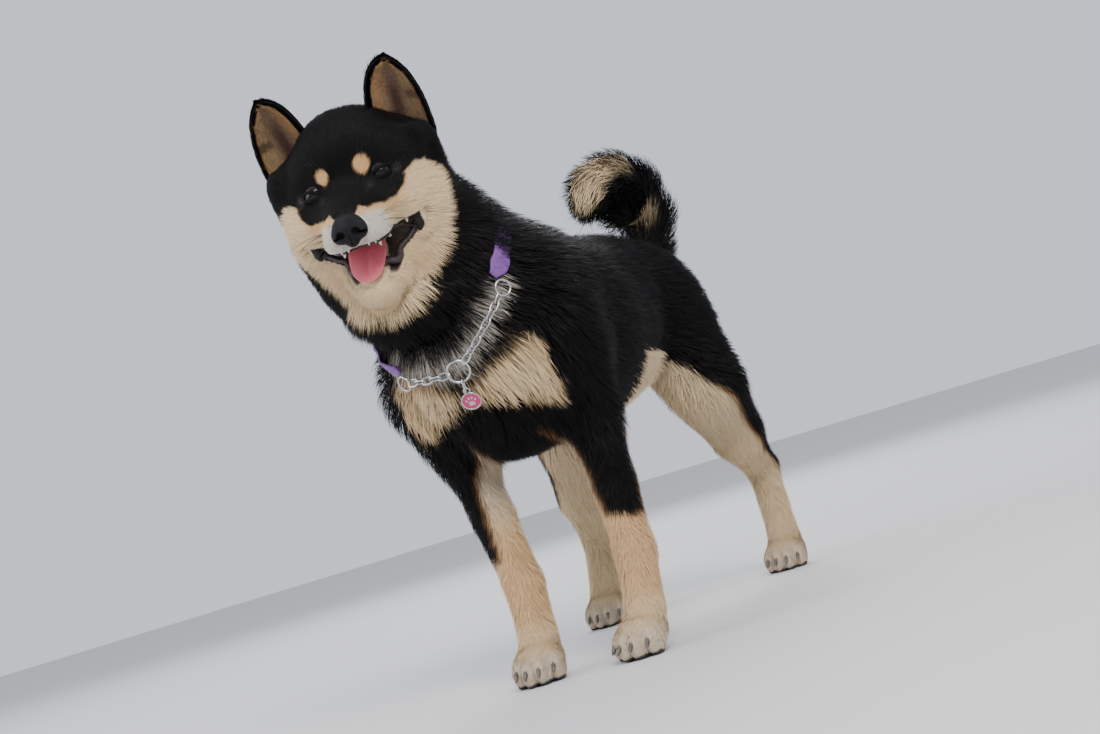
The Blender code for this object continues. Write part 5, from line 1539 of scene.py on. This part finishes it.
a_left, a_right = angle_of((0.0335, -0.2050, 0.3290)), angle_of((-0.0700, -0.2220, 0.2780))
a_back = angle_of(C0 + V(0, 0.1, 0.08))
if a_left > a_back:
    a_left -= 2 * np.pi
if a_right < a_back:
    a_right += 2 * np.pi
WIDTH, THICK, SINK = 0.0180, 0.0024, 0.0026
steps = 150
rings = []
for k, a in enumerate(np.linspace(a_left, a_right, steps)):
    d = np.cos(a) * e_1 + np.sin(a) * e_2
    end = min(k, steps - 1 - k) / (steps - 1)
    r = coat_radius(a) - 0.0004 - 0.0085 * ss(0.035, 0.11, end)
    sect = []
    m = 26
    for j in range(m):
        b = 2 * np.pi * j / m
        cx, cy = np.cos(b), np.sin(b)
        cx, cy = np.sign(cx) * abs(cx) ** 0.35, np.sign(cy) * abs(cy) ** 0.35
        taper = 1 - 0.55 * ss(0.030, 0.0, end)
        sect.append(C0 + d * (r - THICK / 2 + cx * THICK / 2) + NC * (cy * WIDTH / 2 * taper))
    rings.append(sect)
v = np.array(rings).reshape(-1, 3)
f = grid_faces(steps, m, wrap_v=True)
caps = []
for base in (0, (steps - 1) * m):
    for j in range(1, m // 2):
        c = (base + j, base + j + 1, base + m - j - 1 + 0, base + m - j)
        caps.append(c if base == 0 else c[::-1])
f = np.concatenate([f, np.array(caps)])
piece("collar_webbing", v, f, ["collar_webbing"], M_WEB, None)


def coat_normal(p, eps=1e-3):
    g = np.array([outline((p + np.eye(3)[i] * eps)[None])[0] - outline((p - np.eye(3)[i] * eps)[None])[0] for i in range(3)])
    return g / np.linalg.norm(g)


def on_coat(p, lift):
    p = V(*p)
    for _ in range(4):
        p = p - coat_normal(p) * outline(p[None])[0]
    return p + coat_normal(p) * lift


def link_mesh(at, axis, along, half_len, half_wid, wire, nu=28, nv=10):
    z = V(*axis) / np.linalg.norm(axis)
    x = V(*along) - z * (V(*along) @ z)
    x /= np.linalg.norm(x)
    yv = np.cross(z, x)
    a = 2 * np.pi * np.arange(nu) / nu
    straight = half_len - half_wid
    cx = straight * np.clip(np.cos(a) * 2.2, -1, 1) + half_wid * np.cos(a)
    path = V(*at) + cx[:, None] * x + (half_wid * np.sin(a))[:, None] * yv
    return tube(path, wire, nv, 1.0, up=z, closed=True)


LINK, WIRE, RING_R, RING_WIRE, TAG_R, TAG_THICK = (0.0050, 0.0031), 0.00092, 0.0094, 0.0011, 0.0086, 0.0016
RING_AT = on_coat((-0.0143, -0.2261, 0.2666), 0.0036)
RING_N = coat_normal(RING_AT)
D_LEFT = on_coat((0.0340, -0.2065, 0.3205), 0.0046)
D_RIGHT = on_coat((-0.0640, -0.2235, 0.2720), 0.0046)


def towards(a, b, dist):
    d = V(*b) - V(*a)
    return V(*a) + d / np.linalg.norm(d) * dist


v, f = link_mesh(RING_AT, RING_N, (1, 0, 0), RING_R, RING_R, RING_WIRE, 64, 14)
piece("collar_o_ring", v, f, ["collar_o_ring"], M_STEEL, None)
for name, at in (("left", D_LEFT), ("right", D_RIGHT)):
    v, f = link_mesh(at, coat_normal(at), RING_AT - at, 0.0068, 0.0066, 0.0010, 48, 12)
    piece("collar_d_ring_" + name, v, f, ["collar_d_ring_" + name], M_STEEL, None)
    a = towards(at, RING_AT, 0.0066 + LINK[0] - WIRE * 1.2)
    b = towards(RING_AT, at, RING_R + LINK[0] - WIRE * 1.2)
    count_l = int(round(np.linalg.norm(b - a) / 0.0080)) + 1
    mids = [on_coat(a + (b - a) * i / (count_l - 1), 0.0041) for i in range(count_l)]
    links = []
    for i, c in enumerate(mids):
        tt = mids[min(i + 1, count_l - 1)] - mids[max(i - 1, 0)]
        tt /= np.linalg.norm(tt)
        n = coat_normal(c)
        n = n - tt * (n @ tt)
        n /= np.linalg.norm(n)
        w = np.cross(tt, n)
        turn = np.pi / 4 if i % 2 else -np.pi / 4
        links.append(link_mesh(c, np.cos(turn) * n + np.sin(turn) * w, tt, LINK[0], LINK[1], WIRE))
    v, f = joined(links)
    piece("collar_chain_" + name, v, f, ["collar_chain_" + name], M_STEEL, None)

down = V(0, 0, -1) - RING_N * (V(0, 0, -1) @ RING_N)
down /= np.linalg.norm(down)
link_at = RING_AT + down * (RING_R + 0.0036) + RING_N * 0.0004
v, f = link_mesh(link_at, np.cross(RING_N, down), down, 0.0060, 0.0030, 0.0008, 40, 10)
piece("tag_link", v, f, ["tag_link"], M_STEEL, None)
TAG_AT = on_coat(link_at + down * (0.0060 + 0.0022 + TAG_R), 0.0030)
TAG_N = coat_normal(TAG_AT)
hang = down - TAG_N * (down @ TAG_N)
hang /= np.linalg.norm(hang)
tx = np.cross(-hang, TAG_N)


def on_tag(x, y, z):
    return TAG_AT + np.asarray(x)[..., None] * tx - np.asarray(y)[..., None] * hang + np.asarray(z)[..., None] * TAG_N


def dome(cx, cy, rx, ry, turn, base, height, nu=28, nv=7):
    a = np.linspace(0, 2 * np.pi, nu, endpoint=False)
    b = np.linspace(0, np.pi / 2, nv)
    A_, B_ = np.meshgrid(a, b, indexing="ij")
    lx, ly = rx * np.cos(A_) * np.cos(B_) ** 0.6, ry * np.sin(A_) * np.cos(B_) ** 0.6
    x = cx + lx * np.cos(turn) - ly * np.sin(turn)
    y = cy + lx * np.sin(turn) + ly * np.cos(turn)
    return on_tag(x, y, base + height * np.sin(B_)).reshape(-1, 3), grid_faces(nu, nv, wrap_u=True)


face_z = TAG_THICK / 2 - 0.0003
a = np.linspace(0, 2 * np.pi, 72, endpoint=False)
prof = [(0.0001, -0.0007), (TAG_R - 0.0012, -0.0007), (TAG_R - 0.0004, -0.0007), (TAG_R, -0.0003), (TAG_R, 0.0005), (TAG_R - 0.0003, 0.0008), (TAG_R - 0.0009, 0.0008), (TAG_R - 0.0012, face_z), (TAG_R - 0.0013, face_z - 0.0003)]
vv = np.stack([on_tag(r * np.cos(a), r * np.sin(a), np.full(len(a), z)) for r, z in prof], 1).reshape(-1, 3)
rim = (vv, grid_faces(72, len(prof), wrap_u=True))
loop = link_mesh(TAG_AT - hang * (TAG_R + 0.0020), TAG_N, hang, 0.0026, 0.0026, 0.0007, 28, 10)
prints = [dome(0, -0.0020, 0.0027, 0.0021, 0.0, face_z - 0.0001, 0.0004)]
prints += [dome(s_ * 0.0013, -0.0030, 0.0013, 0.0013, 0.0, face_z - 0.0001, 0.00035) for s_ in (-1, 1)]
for x_, y_, tn in ((0.0013, 0.0030, -0.10), (0.0037, 0.0010, -0.45)):
    prints += [dome(s_ * x_, y_, 0.00095, 0.00155, s_ * tn, face_z - 0.0001, 0.0004) for s_ in (-1, 1)]
v, f = joined([rim, loop] + prints)
piece("tag_metal", v, f, ["tag"], M_STEEL, None)
r_ = np.linspace(0.0001, TAG_R - 0.0011, 9)
v = np.stack([on_tag(r * np.cos(a), r * np.sin(a), np.full(len(a), face_z)) for r in r_], 1).reshape(-1, 3)
piece("tag_enamel", v, grid_faces(72, 9, wrap_u=True), (), M_ENAMEL, None)

# ---------------------------------------------------------------- floor, light and camera
bm = bmesh.new()
bmesh.ops.create_circle(bm, cap_ends=True, segments=96, radius=14.0)
me = bpy.data.meshes.new("floor")
bm.to_mesh(me)
bm.free()
floor = bpy.data.objects.new("floor", me)
floor.location = (0, 0, -0.0002)
bpy.context.scene.collection.objects.link(floor)
floor.data.materials.append(material("floor", (0.62, 0.62, 0.62), 0.85, spec=0.2, noise_scale=2.0, noise_amount=0.06, second=(0.56, 0.56, 0.56)))

world = bpy.data.worlds.new("studio")
bpy.context.scene.world = world
world.use_nodes = True
bg = world.node_tree.nodes["Background"]
bg.inputs["Color"].default_value = (0.86, 0.90, 1.0, 1.0)
bg.inputs["Strength"].default_value = 0.95


def area(name, at, look, size, power, colour=(1, 1, 1)):
    li = bpy.data.lights.new(name, "AREA")
    li.shape = "DISK"
    li.size = size
    li.energy = power
    li.color = colour
    ob = bpy.data.objects.new(name, li)
    ob.location = at
    ob.rotation_mode = "QUATERNION"
    ob.rotation_quaternion = (Vector(look) - Vector(at)).to_track_quat("-Z", "Y")
    bpy.context.scene.collection.objects.link(ob)
    return ob


area("key", (1.4, -2.0, 2.4), (0, 0, 0.3), 1.6, 95, (1.0, 0.97, 0.93))
area("fill", (-2.2, -1.6, 1.5), (0, 0, 0.3), 2.0, 38, (0.93, 0.96, 1.0))
area("rim", (-0.8, 2.4, 2.2), (0, 0, 0.35), 1.5, 60)

cam = bpy.data.objects.new("camera", bpy.data.cameras.new("camera"))
bpy.context.scene.collection.objects.link(cam)
yaw, pitch, roll = np.radians([23.03, 4.37, -16.84])
fwd = V(-np.sin(yaw) * np.cos(pitch), np.cos(yaw) * np.cos(pitch), np.sin(pitch))
right = np.cross(fwd, V(0, 0, 1))
right /= np.linalg.norm(right)
upv = np.cross(right, fwd)
cx_ = np.cos(roll) * right + np.sin(roll) * upv
cy_ = -np.sin(roll) * right + np.cos(roll) * upv
rot = Matrix(np.stack([cx_, cy_, -fwd], 1).tolist())
cam.matrix_world = Matrix.Translation((0.5552 + SHIFT[0], -1.3819 + SHIFT[1], 0.149)) @ rot.to_4x4()
cam.data.sensor_width = 36
cam.data.lens = 36 * 1579.5 / 1100
cam.data.clip_start = 0.02
cam.data.clip_end = 60
cam.data.dof.use_dof = False
bpy.context.scene.camera = cam
